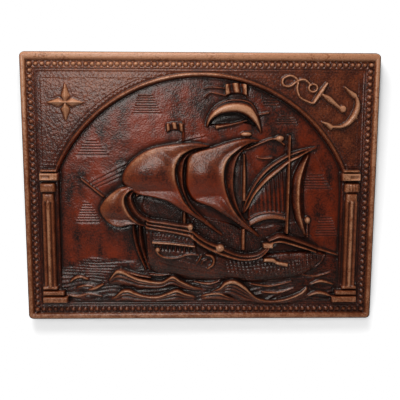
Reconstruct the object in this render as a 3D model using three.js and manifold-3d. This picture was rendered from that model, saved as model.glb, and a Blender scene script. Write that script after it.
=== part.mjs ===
// Wall plaque of moulded leather: a galleon under full sail on a rough sea, seen through an arch that
// stands on two reeded columns, with a compass star and an anchor in the corners above the arch, and a
// row of beads inside a plain rounded rim. The plaque is one piece, leather pressed over a flat panel.
//
// Units are millimetres. The relief is laid out lying on its back, as it is made: x to the right, y up
// the picture and z out of the wall. The mesh is then stood upright, so that the part has +Z up, its
// face towards -Y, and its origin in the middle of the flat back.

import * as THREE from "three";
import { mergeVertices } from "three/addons/utils/BufferGeometryUtils.js";
import Module from "manifold-3d";

const wasm = await Module();
wasm.setup();

// ---- Driving dimensions -----------------------------------------------------------------------

const WIDTH = 420;
const HEIGHT = 320;
const CORNER_RADIUS = 6;

// Heights above the wall.
const ROOT = 4; // every raised form is rooted this deep inside the panel
const SKY = 9; // ground of the picture under the arch
const FIELD = 13.5; // ground of the border and of the corners above the arch
const RIM = 16.5;
const SIDE = 11; // where the rim starts to round over

// The rim is widest along the top.
const RIM_SIDE = 7.5;
const RIM_TOP = 10;
const RIM_BOTTOM = 8.5;

const BEAD_PITCH = 7.25;
const BEAD_RADIUS = 2.7;
const BEAD_HEIGHT = 2.2;
const BEAD_INSET = 4.2; // from the rim's inner edge to the middle of the bead row
const RULE_INSET = 11; // from the rim's inner edge to the fine ridge inside the beads

// The picture: a segmental arch over a straight-sided opening.
const PICTURE_HALF = 169;
const SILL = -137;
const SPRING = 24;
const ARCH_TOP = 133;
const ARCH_RADIUS = (PICTURE_HALF ** 2 + (ARCH_TOP - SPRING) ** 2) / (2 * (ARCH_TOP - SPRING));
const ARCH_CENTRE = ARCH_TOP - ARCH_RADIUS;
const ARCH_REACH = Math.asin(PICTURE_HALF / ARCH_RADIUS);
const HORIZON = -86;

const COLUMN_X = 181; // axis of each column, from the middle of the plaque
const COLUMN_FACE = FIELD + 5.5;
const SHAFT_WIDTH = 15;
const SHAFT_TOP = -15;
const SHAFT_FOOT = -117;
const REEDS = 3;

const STAR = { x: -158, y: 102, length: 21, half: 5, rise: 5 };

const MIZZEN_MAST = -19.5;
const MAIN_MAST = 52;
const FORE_MAST = 104;

const WINDOWS = 9;
const WINDOW_PITCH = 5;

// ---- Tools for making solids --------------------------------------------------------------------

// A closed solid from corner points and the triangles between them.
function closed(points, index) {
  const geometry = new THREE.BufferGeometry();
  geometry.setAttribute("position", new THREE.Float32BufferAttribute(points.flat(), 3));
  geometry.setIndex(index);
  return solid(geometry);
}

// A closed solid from a three.js geometry.
function solid(geometry) {
  const bare = new THREE.BufferGeometry();
  bare.setAttribute("position", geometry.getAttribute("position"));
  bare.setIndex(geometry.index);
  const merged = mergeVertices(bare, 1e-4);
  return new wasm.Manifold(
    new wasm.Mesh({
      numProp: 3,
      vertProperties: merged.getAttribute("position").array,
      triVerts: new Uint32Array(merged.index.array),
    }),
  );
}

// A solid under a grid of surface points (rows of [x, y, z]) that reaches down to the root plane.
function embossed(rows) {
  const across = rows[0].length;
  const count = rows.length * across;
  const surface = rows.flat();
  const floor = surface.map(([x, y]) => [x, y, ROOT]);
  const index = [];
  const quad = (a, b, c, d) => index.push(a, b, c, a, c, d);
  for (let i = 0; i + 1 < rows.length; i++)
    for (let j = 0; j + 1 < across; j++) {
      const a = i * across + j;
      quad(a, a + 1, a + 1 + across, a + across);
      quad(count + a, count + a + across, count + a + 1 + across, count + a + 1);
    }
  const last = count - across;
  for (let j = 0; j + 1 < across; j++) {
    quad(j + 1, j, count + j, count + j + 1);
    quad(last + j, last + j + 1, count + last + j + 1, count + last + j);
  }
  for (let i = 0; i < last; i += across) {
    const right = i + across - 1;
    quad(i, i + across, count + i + across, count + i);
    quad(right + across, right, count + right, count + right + across);
  }
  const [p, q, r] = [rows[0][0], rows[0][across - 1], rows[1][0]];
  const turn = (q[0] - p[0]) * (r[1] - p[1]) - (q[1] - p[1]) * (r[0] - p[0]);
  if (turn < 0) index.reverse();
  return closed([...surface, ...floor], index);
}

// A smooth curve through points [x, y], as a function of the share t of the way along it.
function through(points) {
  const spline = new THREE.SplineCurve(points.map(([x, y]) => new THREE.Vector2(x, y)));
  return (t) => spline.getPoint(t);
}

// A form that runs out to nothing at both tips, as a share of its full height.
const tapering = (t) => Math.sqrt(Math.min(1, 5 * t, 5 * (1 - t)));

// Cloth, planking or water between two edge curves. The profile lists [share of the way from the
// first edge to the second, height], and lift scales that height above the ground along the form.
function sheet(first, second, profile, { steps = 12, lift = () => 1, ground = SKY } = {}) {
  const from = through(first);
  const to = through(second);
  const rows = [];
  for (let i = 0; i <= steps; i++) {
    const t = i / steps;
    const [a, b] = [from(t), to(t)];
    rows.push(
      profile.map(([share, height]) => {
        const point = a.clone().lerp(b, share);
        return [point.x, point.y, ground + (height - ground) * lift(t)];
      }),
    );
  }
  return embossed(rows);
}

// A roll of leather along a path, such as a spar, a rope or a moulding: rounded across its width,
// which runs from the first to the last of widths, and standing on its foot.
function roll(points, widths, crest, foot, steps = 8) {
  const path = through(points);
  const width = through(widths.map((w, i) => [i, w]));
  const section = [
    [-1, 0],
    [-0.5, 1],
    [0.5, 1],
    [1, 0],
  ];
  const rows = [];
  for (let i = 0; i <= steps; i++) {
    const t = i / steps;
    const middle = path(t);
    const tangent = path(Math.min(1, t + 0.01)).sub(path(Math.max(0, t - 0.01))).normalize();
    const half = (widths.length > 1 ? width(t).y : widths[0]) / 2;
    rows.push(
      section.map(([side, rise]) => [
        middle.x - tangent.y * side * half,
        middle.y + tangent.x * side * half,
        foot + (crest - foot) * rise,
      ]),
    );
  }
  return embossed(rows);
}

// A straight-edged block with a flat face and bevelled edges.
function block(left, right, bottom, top, face, bevel = 1) {
  const across = [left, left + bevel, right - bevel, right];
  const up = [bottom, bottom + bevel, top - bevel, top];
  const height = (i) => (i === 0 || i === 3 ? face - bevel : face);
  return embossed(up.map((y, i) => across.map((x, j) => [x, y, Math.min(height(i), height(j))])));
}

// A pyramid over a flat outline, with its apex at [x, y, z].
function pyramid(outline, apex, foot) {
  const ring = outline.map(([x, y]) => [x, y, foot]);
  const floor = outline.map(([x, y]) => [x, y, ROOT]);
  const n = outline.length;
  const index = [];
  for (let i = 0; i < n; i++) {
    const j = (i + 1) % n;
    index.push(2 * n, i, j);
    index.push(i, n + i, n + j, i, n + j, j);
    index.push(2 * n + 1, n + j, n + i);
  }
  return closed([...ring, ...floor, apex, [apex[0], apex[1], ROOT]], index);
}

// ---- Panel, arch and border ---------------------------------------------------------------------

// The points of a rectangle with round corners.
function roundRectangle({ left, right, bottom, top, radius }) {
  const corners = [
    [right - radius, top - radius, 0],
    [left + radius, top - radius, Math.PI / 2],
    [left + radius, bottom + radius, Math.PI],
    [right - radius, bottom + radius, -Math.PI / 2],
  ];
  const cuts = 3;
  return corners.flatMap(([x, y, start]) =>
    Array.from({ length: cuts + 1 }, (_, i) => {
      const angle = start + (i / cuts) * (Math.PI / 2);
      return [x + radius * Math.cos(angle), y + radius * Math.sin(angle)];
    }),
  );
}

const OUTSIDE = {
  left: -WIDTH / 2,
  right: WIDTH / 2,
  bottom: -HEIGHT / 2,
  top: HEIGHT / 2,
  radius: CORNER_RADIUS,
};
const INSIDE = {
  left: OUTSIDE.left + RIM_SIDE,
  right: OUTSIDE.right - RIM_SIDE,
  bottom: OUTSIDE.bottom + RIM_BOTTOM,
  top: OUTSIDE.top - RIM_TOP,
  radius: CORNER_RADIUS * 1.5,
};

// The panel: flat back, straight sides, and a rim that rolls over and down to the field.
function panel() {
  const levels = [
    [0, 0],
    [0, SIDE],
    [0.06, SIDE + 3],
    [0.25, RIM - 0.5],
    [0.5, RIM],
    [0.8, RIM - 0.6],
    [1, FIELD],
  ];
  const loops = levels.map(([share, z]) => {
    const between = Object.fromEntries(
      Object.keys(OUTSIDE).map((k) => [k, THREE.MathUtils.lerp(OUTSIDE[k], INSIDE[k], share)]),
    );
    return roundRectangle(between).map(([x, y]) => [x, y, z]);
  });
  const n = loops[0].length;
  const index = [];
  for (let level = 0; level + 1 < loops.length; level++)
    for (let i = 0; i < n; i++) {
      const [a, b] = [level * n + i, level * n + ((i + 1) % n)];
      index.push(a, b, b + n, a, b + n, a + n);
    }
  const top = (loops.length - 1) * n;
  for (let i = 1; i + 1 < n; i++) index.push(0, i + 1, i, top, top + i, top + i + 1);
  return closed(loops.flat(), index);
}

// The deeper ground of the picture, cut out of the field under the arch.
function recess() {
  const outline = new THREE.Shape();
  outline.moveTo(-PICTURE_HALF, SILL);
  outline.lineTo(PICTURE_HALF, SILL);
  outline.lineTo(PICTURE_HALF, SPRING);
  const [start, end] = [Math.PI / 2 - ARCH_REACH, Math.PI / 2 + ARCH_REACH];
  outline.absarc(0, ARCH_CENTRE, ARCH_RADIUS, start, end, false);
  outline.closePath();
  const cut = new THREE.ExtrudeGeometry(outline, {
    depth: RIM,
    bevelEnabled: false,
    curveSegments: 26,
  });
  return solid(cut.translate(0, 0, SKY));
}

// The moulding round the arch.
function archRoll() {
  const radius = ARCH_RADIUS + 1.6;
  const points = Array.from({ length: 9 }, (_, i) => {
    const angle = ARCH_REACH * (1 - i / 4);
    return [-radius * Math.sin(angle), ARCH_CENTRE + radius * Math.cos(angle)];
  });
  return roll(points, [4.4], FIELD + 2.6, FIELD - 1, 26);
}

// Beads in a row round the field, evenly spaced along each side.
function beads() {
  const made = [];
  const bead = (x, y) => {
    const cone = new THREE.ConeGeometry(BEAD_RADIUS, BEAD_HEIGHT + 0.8, 4);
    cone.rotateX(Math.PI / 2);
    made.push(solid(cone.translate(x, y, FIELD - 0.8 + (BEAD_HEIGHT + 0.8) / 2)));
  };
  const x = INSIDE.right - BEAD_INSET;
  const [low, high] = [INSIDE.bottom + BEAD_INSET, INSIDE.top - BEAD_INSET];
  const along = Math.round((2 * x) / BEAD_PITCH);
  for (let i = 0; i <= along; i++)
    for (const y of [low, high]) bead(-x + (2 * x * i) / along, y);
  const up = Math.round((high - low) / BEAD_PITCH);
  for (let i = 1; i < up; i++)
    for (const side of [-x, x]) bead(side, low + ((high - low) * i) / up);
  return made;
}

// The fine ridge that frames the field inside the beads.
function rule() {
  const rectangle = (inset) => [
    new THREE.Vector2(INSIDE.left + inset, INSIDE.bottom + inset),
    new THREE.Vector2(INSIDE.right - inset, INSIDE.bottom + inset),
    new THREE.Vector2(INSIDE.right - inset, INSIDE.top - inset),
    new THREE.Vector2(INSIDE.left + inset, INSIDE.top - inset),
  ];
  const outline = new THREE.Shape(rectangle(RULE_INSET - 0.5));
  outline.holes.push(new THREE.Path(rectangle(RULE_INSET + 0.5)));
  const ridge = new THREE.ExtrudeGeometry(outline, {
    depth: 2,
    bevelThickness: 0.5,
    bevelSize: 0.5,
    bevelSegments: 1,
  });
  return solid(ridge.translate(0, 0, FIELD + 0.9 - 2.5));
}

// ---- Columns ------------------------------------------------------------------------------------

// A rounded cushion of a capital, optionally grooved from top to bottom into ribs.
function cushion(x, half, low, high, face, ribs = 0) {
  const upward = [-1, -0.7, 0, 0.7, 1];
  const across = ribs ? Array.from({ length: 2 * ribs + 1 }, (_, i) => i / ribs - 1) : upward;
  const round = (u) => Math.sqrt(1 - u ** 4);
  return embossed(
    upward.map((v) =>
      across.map((u, j) => {
        const groove = ribs && j % 2 === 0 ? 0.25 : 0;
        const rise = Math.min(round(u), round(v)) * (1 - groove);
        return [
          x + u * half * (0.82 + 0.18 * round(v)),
          THREE.MathUtils.lerp(low, high, (v + 1) / 2),
          THREE.MathUtils.lerp(FIELD + 1.5, face, rise),
        ];
      }),
    ),
  );
}

// The shaft: upright reeds side by side, the middle one standing out.
function shaft(x) {
  const pitch = SHAFT_WIDTH / REEDS;
  const reeds = [[x - SHAFT_WIDTH / 2, FIELD]];
  for (let i = 0; i < REEDS; i++) {
    const left = x - SHAFT_WIDTH / 2 + i * pitch;
    const crest = COLUMN_FACE + (i === (REEDS - 1) / 2 ? 1.4 : 0);
    reeds.push([left + 0.12 * pitch, crest - 2.6]);
    reeds.push([left + 0.3 * pitch, crest - 0.4]);
    reeds.push([left + 0.7 * pitch, crest - 0.4]);
    reeds.push([left + 0.88 * pitch, crest - 2.6]);
  }
  reeds.push([x + SHAFT_WIDTH / 2, FIELD]);
  const ends = [SHAFT_FOOT - 1, SHAFT_TOP + 1];
  return embossed(ends.map((y) => reeds.map(([px, z]) => [px, y, z])));
}

// One column, with its axis at x; towards is +1 where the picture lies to its right.
function column(x, towards, ribs) {
  const span = (outer, inner) => {
    const [a, b] = [x - towards * outer, x + towards * inner];
    return [Math.min(a, b), Math.max(a, b)];
  };
  const slabs = [
    { reach: 9, low: -121.5, high: -117.5 },
    { reach: 17, low: -128.5, high: -123 },
    { reach: 21, low: -137.5, high: -130 },
  ];
  return [
    shaft(x),
    cushion(x, 7, SHAFT_TOP - 1, -4, COLUMN_FACE + 0.5),
    cushion(x, 9.2, -3.5, 8, COLUMN_FACE + 2, ribs),
    block(...span(9, 13), 10.5, 19.5, COLUMN_FACE + 1.5),
    block(...span(8, 12), 20.5, 23.5, COLUMN_FACE + 0.5, 0.8),
    ...slabs.map(({ reach, low, high }, i) =>
      block(...span(9, reach), low, high, COLUMN_FACE + 0.5 + i, 1.2),
    ),
  ];
}

// ---- Star and anchor ----------------------------------------------------------------------------

// Compass star: four ridged, leaf-shaped points about a common centre.
function star() {
  return [0, 1, 2, 3].map((quarter) => {
    const angle = (quarter * Math.PI) / 2;
    const [c, s] = [Math.cos(angle), Math.sin(angle)];
    const place = (along, side) => [STAR.x + along * c - side * s, STAR.y + along * s + side * c];
    const outline = [
      place(-1.5, 0),
      place(8, -STAR.half),
      place(STAR.length, 0),
      place(8, STAR.half),
    ];
    return pyramid(outline, [...place(6, 0), FIELD + STAR.rise], FIELD - 0.3);
  });
}

function anchor() {
  const foot = FIELD - 0.5;
  const stock = [[147.5, 125.5], [139.5, 113], [131.5, 101.5]];
  const shank = [[142, 112], [150, 107], [160, 99], [168, 93]];
  const arms = [[180, 113], [184, 103], [183, 93], [176, 81], [166, 75], [155, 74.5]];
  const rope = [
    [130, 102],
    [117, 108],
    [112.5, 118],
    [113, 128],
    [105, 133.5],
    [96, 130],
    [96, 123],
    [104, 121.5],
    [113, 127.5],
    [121, 129],
    [127, 124],
  ];
  const ring = Array.from({ length: 9 }, (_, i) => {
    const angle = 1.9 + (i / 8) * 1.9 * Math.PI;
    return [131 + 5 * Math.cos(angle), 119.5 + 4.5 * Math.sin(angle)];
  });
  const knob = [[162.5, 96], [166, 91], [171, 93], [168.5, 98.5], [164, 99]];
  const crown = [[186, 83], [181, 94], [176, 86]];
  const upperFluke = [[167.5, 122], [178, 107.5], [181.5, 112.5], [184.5, 113.5]];
  const lowerFluke = [[142.5, 80.5], [154, 69.5], [155, 75], [156.5, 77.5]];
  return [
    roll(stock, [3, 6, 3], FIELD + 4.5, foot, 2),
    roll(shank, [3.5, 6.5, 4, 4], FIELD + 4.5, foot, 4),
    roll(arms, [2.5, 5.5, 8, 7, 4.5, 2.5], FIELD + 5, foot, 10),
    roll(rope, [3], FIELD + 2.6, foot, 22),
    roll(ring, [2.6], FIELD + 3, foot, 8),
    pyramid(knob, [167, 95.5, FIELD + 5.5], FIELD + 2),
    pyramid(crown, [180.5, 88.5, FIELD + 5], foot),
    pyramid(upperFluke, [177.5, 113, FIELD + 5], foot),
    pyramid(lowerFluke, [152, 75.5, FIELD + 5], foot),
  ];
}

// ---- Sails --------------------------------------------------------------------------------------

// The section of a sail that bellies out and ends in a rolled hem along its second edge.
const belly = (edge, full, dip, hem) => [
  [0, edge],
  [0.1, edge + (full - edge) * 0.65],
  [0.35, full],
  [0.72, dip],
  [0.88, hem],
  [1, hem - 2.5],
];

const SAILS = {
  main: {
    back: [[8, 52.5], [-20, 56], [-60, 50], [-85, 32], [-88, 5], [-38, -14], [-8, -38], [22, -53]],
    front: [[8, 51], [-14, 45], [-27, 32], [-28, 12], [-20, -7], [-6, -24], [10, -40], [23, -52]],
    profile: belly(13, 22, 19, 22.5),
    steps: 18,
  },
  fore: {
    back: [[71, 57], [48, 60], [20, 51], [-6, 46], [-18.5, 32], [-17, 2], [8, -26], [72, -60]],
    front: [[71, 55], [56, 54], [36, 41], [28, 22], [28, 3], [36, -19], [52, -40], [74, -59]],
    profile: belly(13, 20, 18, 21.5),
    steps: 18,
  },
  jib: {
    back: [[139, 50.5], [118, 47], [98, 40], [80, 28], [66, 12], [50, -24]],
    front: [[139, 49], [122, 43.5], [104, 34], [88, 20.5], [74, 5], [51.5, -24]],
    profile: [[0, 15], [0.2, 17.5], [0.5, 15.5], [0.8, 19], [1, 15]],
    steps: 14,
  },
  staysail: {
    back: [[128, 42], [114, 26], [111, 0], [117, -38], [128, -58]],
    front: [[130, 41], [122, 26], [118.5, 0], [122, -40], [131, -58]],
    profile: [[0, 13], [0.5, 16], [1, 12.5]],
    steps: 10,
  },
  spanker: {
    back: [[-72, 4.5], [-90, 4.5], [-108, -5], [-120, -24], [-110, -40], [-80, -40], [-58, -46]],
    front: [[-73, 2.5], [-81, 0], [-85.5, -12], [-84, -24], [-77, -33], [-58, -44]],
    profile: belly(14, 22, 20.5, 22.5),
    steps: 15,
  },
  spankerLeech: {
    back: [[-77, -1], [-83, -10], [-83, -22], [-76, -32], [-58, -42]],
    front: [[-75, -3], [-77, -12], [-74, -21], [-68, -29], [-57, -36]],
    profile: [[0, 19], [0.6, 17], [1, 19]],
    steps: 9,
  },
  top: {
    back: [[6, 74], [11, 88], [21, 98], [34, 103.5], [48, 102.5], [63, 91], [71, 68]],
    front: [[7, 75], [14, 83.5], [24, 90.5], [36, 92.5], [47, 91.5], [60, 83], [70, 69]],
    profile: [[0, 11], [0.35, 17], [0.75, 18.5], [1, 15]],
    steps: 14,
  },
};

// The cloth of the jib that hangs in front of the fore mast, above its curved foot.
const JIB_CLOTH = {
  back: [[104, 34], [88, 20], [73, 3.5], [58, -16]],
  front: [[102, -29], [86, -27], [71, -29.5], [58, -34]],
  profile: [[0, 12], [0.5, 13], [1, 11.5]],
};
const JIB_FOOT = {
  back: [[58, -33], [71, -29], [86, -26.5], [102, -28.5]],
  front: [[60, -45], [74, -40.5], [88, -38], [102, -39]],
  profile: [[0, 13.5], [0.3, 15], [0.8, 14.5], [1, 11]],
};

function sails() {
  const full = Object.values(SAILS).map(({ back, front, profile, steps }) =>
    sheet(back, front, profile, { steps, lift: tapering }),
  );
  const flat = [JIB_CLOTH, JIB_FOOT].map(({ back, front, profile }) =>
    sheet(back, front, profile, { steps: 7 }),
  );
  return [...full, ...flat];
}

// The hollow under the topsail's curved foot, sunk below the sky.
function topsailHollow() {
  const point = ([x, y]) => new THREE.Vector2(x, y);
  const outline = new THREE.Shape();
  outline.moveTo(10, 78);
  outline.splineThru([[24, 90], [47, 91], [65, 75]].map(point));
  outline.splineThru([[52, 82], [30, 81], [10, 78]].map(point));
  const cut = new THREE.ExtrudeGeometry(outline, {
    depth: 3,
    bevelEnabled: false,
    curveSegments: 5,
  });
  return solid(cut.translate(0, 0, SKY - 2));
}

// ---- Masts, spars and flags ---------------------------------------------------------------------

// Each spar is a path, its widths along the path and the height of its crest.
const SPARS = [
  [[[FORE_MAST, 64.5], [FORE_MAST - 0.5, -53]], [2.6, 4], 18],
  [[[MAIN_MAST, 38], [MAIN_MAST, -9]], [3.6, 5], 13.5],
  [[[MAIN_MAST, -50], [MAIN_MAST, -74]], [5.5, 5.5], 14.5],
  [[[MIZZEN_MAST, -26], [MIZZEN_MAST, -42]], [5, 5.5], 14],
  [[[-143, 12.5], [-116, -9.5]], [1.8, 3], 11.5],
  [[[-78, -7.5], [-62, 2.5]], [3.4, 2.4], 14],
  [[[18, 72], [30, 74.5], [54, 83]], [4, 2.6, 2], 11.5],
  [[[65, 87], [81, 91]], [3, 1.6], 11.5],
  [[[50, 46], [66, 52.5], [84, 60], [92, 57], [100, 52]], [2.4], 12],
  [[[66, 38], [74, 36.5], [84, 37.5]], [2.4], 11],
  [[[54.5, 128], [54.5, 109]], [1.6], 11],
  [[[-21, 80], [-21, 57]], [1.6], 11],
  [[[130.5, -44], [130.5, -59]], [2, 1.6], 11.5],
  [[[137, -71], [152, -75.5], [168, -80.5]], [4, 2.8, 1.6], 14],
  [[[3.5, 108], [9, 113.5], [18, 114], [30, 111]], [1, 1.6, 2, 2.4], 11],
];

function spars() {
  return SPARS.map(([path, widths, crest]) =>
    roll(path, widths, crest, SKY - 0.5, path.length > 2 ? 2 * (path.length - 1) : 1),
  );
}

// A flag with one fold across it.
function flag(left, right, low, high, face) {
  const shares = [0, 0.2, 0.5, 0.8, 1];
  return embossed(
    shares.map((t, i) => {
      const x = THREE.MathUtils.lerp(left, right, t);
      const wave = 1.5 * Math.sin(Math.PI * t);
      const z = face - (i % 2 ? 0 : 1.6);
      return [
        [x, low + 2 * wave, z - 1],
        [x, high + wave, z],
      ];
    }),
  );
}

// A small gilt ornament: a diamond with its point at [x, y, z].
const diamond = (x, y, z, across, up) =>
  pyramid([[x - across / 2, y], [x, y - up / 2], [x + across / 2, y], [x, y + up / 2]], [x, y, z], SKY);

function flagsAndOrnaments() {
  return [
    flag(29, 53, 110.5, 122.5, 15.5),
    flag(-40, -22, 68, 77.5, 14),
    diamond(53.5, 65.8, 13, 15, 7.5),
    diamond(93.5, 61, 14.5, 9, 8),
    diamond(130, -39.5, 16, 9, 11),
  ];
}

// ---- Hull ---------------------------------------------------------------------------------------

// The section of a band of rounded ribs side by side.
const ribbed = (ribs, groove, crest) =>
  Array.from({ length: ribs }, (_, i) => [
    [i / ribs, groove],
    [(i + 0.3) / ribs, crest],
    [(i + 0.7) / ribs, crest],
  ]).flat().concat([[1, groove]]);

// The hull from stern to bow: each strake is a sheet between two lines, with its section.
const HULL = {
  body: {
    back: [[-66, -44], [-36, -50], [-10, -60], [14, -75], [45, -84], [75, -80], [137, -76], [153, -80]],
    front: [[-62, -97], [-46, -106], [-12, -111], [36, -113], [76, -114], [126, -105], [153, -82]],
    profile: [[0, 14], [0.12, 16.5], [0.45, 18], [0.75, 16.5], [1, 12.5]],
    steps: 14,
    lift: (t) => Math.min(1, 4 * (1 - t) + 0.25),
  },
  gallery: {
    back: [[-60, -50], [-35, -52], [-9, -58]],
    front: [[-60, -77], [-35, -79], [-2, -79]],
    profile: [[0, 18], [0.34, 18.5], [0.38, 20], [0.5, 20], [0.54, 18.5], [1, 18]],
    steps: 4,
  },
  rails: {
    back: [[-68, -31], [-60, -35], [-36, -37], [-12, -43]],
    front: [[-66, -43], [-58, -46], [-34, -50], [-10, -57]],
    profile: ribbed(3, 18, 21),
    steps: 6,
  },
  sheer: {
    back: [[-14, -42], [-7, -54], [6, -61], [24, -68], [40, -77], [56, -80.5], [70, -78], [81, -67]],
    front: [[-15, -57], [-8, -63], [4, -71], [20, -78.5], [38, -83.5], [56, -85.5], [72, -82], [84, -69]],
    profile: [[0, 18], [0.2, 21], [0.55, 19.5], [0.85, 21.5], [1, 18]],
    steps: 15,
  },
  forecastle: {
    back: [[81, -60.5], [89, -58], [97, -53], [110, -57], [125, -63], [141, -70]],
    front: [[83, -67], [90, -66.5], [98, -66.5], [110, -69], [125, -73], [140, -77]],
    profile: [[0, 15], [0.3, 19], [0.45, 17], [0.8, 17], [0.85, 19], [1, 17]],
    steps: 9,
  },
  bulwark: {
    back: [[82, -66], [110, -68], [138, -76]],
    front: [[80, -82], [108, -84], [137, -88]],
    profile: [[0, 16], [1, 16.5]],
    steps: 3,
  },
  channel: {
    back: [[76, -82], [92, -83], [107, -88.5]],
    front: [[76, -88.5], [92, -89.5], [106, -94.5]],
    profile: [[0, 18], [0.2, 20.5], [0.8, 20.5], [1, 18]],
    steps: 4,
  },
};

// Carved scrolls along the hull and the sternpost: a path, its widths, crest and foot.
const CARVING = [
  [[[-81, -42], [-78.5, -60], [-74, -78], [-65, -99]], [8, 8, 7, 5], 15.5, SKY],
  [[[-53, -70], [-49, -77], [-41, -82], [-28, -82], [-12, -78.5], [-1, -79]], [4.5, 2.5, 1.6], 20.5, 16],
  [[[11, -81], [17, -85], [14.5, -92], [7, -97]], [3.5, 3, 2], 20, 16],
  [[[-1, -92], [1.5, -84], [8, -86]], [2, 3, 4], 20, 16],
];

function hull() {
  const strakes = Object.values(HULL).map(({ back, front, profile, steps, lift }) =>
    sheet(back, front, profile, { steps, lift }),
  );
  const scrolls = CARVING.map(([path, widths, crest, foot]) =>
    roll(path, widths, crest, foot, path.length + 2),
  );
  const catHead = block(79.5, 88.5, -70.5, -63.5, 20.5);
  const knob = pyramid([[19, -68], [25, -74], [31, -73], [25, -66]], [25, -70, 24], 20);
  return [...strakes, ...scrolls, catHead, knob];
}

// The stern windows, a row of square openings that follows the fall of the gallery.
function sternWindows() {
  return Array.from({ length: WINDOWS }, (_, i) => {
    const pane = new THREE.BoxGeometry(WINDOW_PITCH - 1.8, 5.5, 8);
    return solid(pane.translate(-54 + i * WINDOW_PITCH, -70 - 0.25 * i, 20.5));
  });
}

// ---- Sea ----------------------------------------------------------------------------------------

// Breaking waves: steep behind the crest line, with a smooth face down to the lower edge.
const WAVES = [
  {
    back: [[-114, -116], [-101, -98.5], [-88, -104], [-72, -114.5], [-56, -115], [-34, -104], [0, -123]],
    front: [[-116, -121], [-100, -119], [-86, -121], [-70, -127], [-54, -128], [-34, -120], [2, -129]],
    crest: 18.5,
    steps: 15,
  },
  {
    back: [[-110, -135], [-88, -121], [-77, -127.5], [-62, -132], [-46, -127], [-29, -120.5], [-8, -134]],
    front: [[-110, -137], [-88, -137], [-77, -137.5], [-62, -138], [-46, -138], [-29, -138], [-8, -138]],
    crest: 19.5,
    steps: 15,
  },
  {
    back: [[2, -114], [26, -115], [39, -110], [50, -116], [60, -124], [86, -138], [104, -134], [134, -119]],
    front: [[4, -124], [24, -126], [37, -130], [50, -137], [88, -140], [136, -137]],
    crest: 19.5,
    steps: 16,
  },
  {
    back: [[-10, -133], [8, -133], [27, -126.5], [44, -137]],
    front: [[-10, -138], [8, -138], [26, -138], [46, -138.5]],
    crest: 17.5,
    steps: 8,
  },
];

function sea() {
  const slope = sheet(
    [[-PICTURE_HALF, HORIZON], [PICTURE_HALF, HORIZON]],
    [[-PICTURE_HALF, SILL - 1], [PICTURE_HALF, SILL - 1]],
    [[0, SKY + 0.4], [0.5, SKY + 3], [1, FIELD + 0.5]],
    { steps: 1 },
  );
  const breakers = WAVES.map(({ back, front, crest, steps }) => {
    const profile = [[0, crest - 2.5], [0.12, crest], [0.3, crest - 0.6], [0.6, crest - 3], [1, crest - 4.5]];
    return sheet(back, front, profile, { steps, lift: tapering, ground: FIELD - 2 });
  });
  const ripples = [
    roll([[-158, -114], [-149, -109.5], [-135, -109]], [2, 5, 3], 15, SKY, 4),
    roll([[-136, -123], [-127, -121], [-117, -116.5]], [2, 5, 2.5], 16, SKY, 4),
  ];
  return [slope, ...breakers, ...ripples];
}

// ---- The plaque ---------------------------------------------------------------------------------

const raised = [
  archRoll(),
  ...beads(),
  rule(),
  ...column(-COLUMN_X, 1, 0),
  ...column(COLUMN_X, -1, 4),
  ...star(),
  ...anchor(),
  ...sails(),
  ...spars(),
  ...flagsAndOrnaments(),
  ...hull(),
  ...sea(),
];
const ground = panel().subtract(recess()).subtract(topsailHollow());
const sunk = wasm.Manifold.union(sternWindows());
const plaque = wasm.Manifold.union([ground, ...raised]).subtract(sunk).getMesh();

const geometry = new THREE.BufferGeometry();
geometry.setAttribute("position", new THREE.BufferAttribute(plaque.vertProperties, 3));
geometry.setIndex(new THREE.BufferAttribute(plaque.triVerts, 1));
geometry.computeVertexNormals();

const leather = new THREE.MeshStandardMaterial({ color: 0x5a2e1c, roughness: 0.45, metalness: 0 });
const mesh = new THREE.Mesh(geometry, leather);
mesh.name = "relief_panel";
mesh.rotation.x = Math.PI / 2; // stood upright, face towards -Y

const group = new THREE.Group();
group.add(mesh);

export default group;
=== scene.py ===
# %% [markdown]
# # A wall plaque of moulded leather
#
# The real plaque is one hide. It was soaked, pressed over a carved form, sharpened by hand with
# modelling tools, dyed, and then antiqued: dark stain was wiped over it, and rubbed off again wherever
# the leather stands proud. So one surface carries everything that is seen, and this lesson builds it as
# a map of heights, the way the maker did: first the board, then the border, then each part of the
# picture pressed up out of the ground.

# %% Load the frame
import math

import bpy
import numpy as np
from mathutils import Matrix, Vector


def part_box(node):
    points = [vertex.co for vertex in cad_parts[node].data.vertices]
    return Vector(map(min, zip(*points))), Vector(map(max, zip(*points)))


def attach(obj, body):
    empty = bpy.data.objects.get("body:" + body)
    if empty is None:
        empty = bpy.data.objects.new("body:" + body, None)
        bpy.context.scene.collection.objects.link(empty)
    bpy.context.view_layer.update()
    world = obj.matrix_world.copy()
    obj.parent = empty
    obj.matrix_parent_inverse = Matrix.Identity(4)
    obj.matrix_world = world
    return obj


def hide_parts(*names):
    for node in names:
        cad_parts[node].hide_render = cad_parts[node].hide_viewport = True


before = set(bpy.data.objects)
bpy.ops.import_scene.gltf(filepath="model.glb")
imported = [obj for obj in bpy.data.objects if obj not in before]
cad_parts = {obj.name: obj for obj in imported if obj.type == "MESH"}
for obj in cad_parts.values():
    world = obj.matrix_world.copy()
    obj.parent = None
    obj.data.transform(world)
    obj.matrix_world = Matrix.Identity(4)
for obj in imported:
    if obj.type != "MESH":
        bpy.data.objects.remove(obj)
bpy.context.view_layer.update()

# %% [markdown]
# The sizes come from the frame. Everything below is in millimetres, measured on the face: x to the
# right and z up from the middle, and heights out of the wall. Only the finished mesh is turned into
# metres. The levels are those of the solid: the sky under the arch lies deepest, the border stands
# higher, and the rim and the figures higher still.

# %% Sizes and levels
LOW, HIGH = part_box("relief_panel")
HALF_WIDTH = 500 * (HIGH.x - LOW.x)
HALF_HEIGHT = 500 * (HIGH.z - LOW.z)
CORNER = 6

SKY = 9
FIELD = 13.5
RIM = 16.5
SIDE = 11

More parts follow.
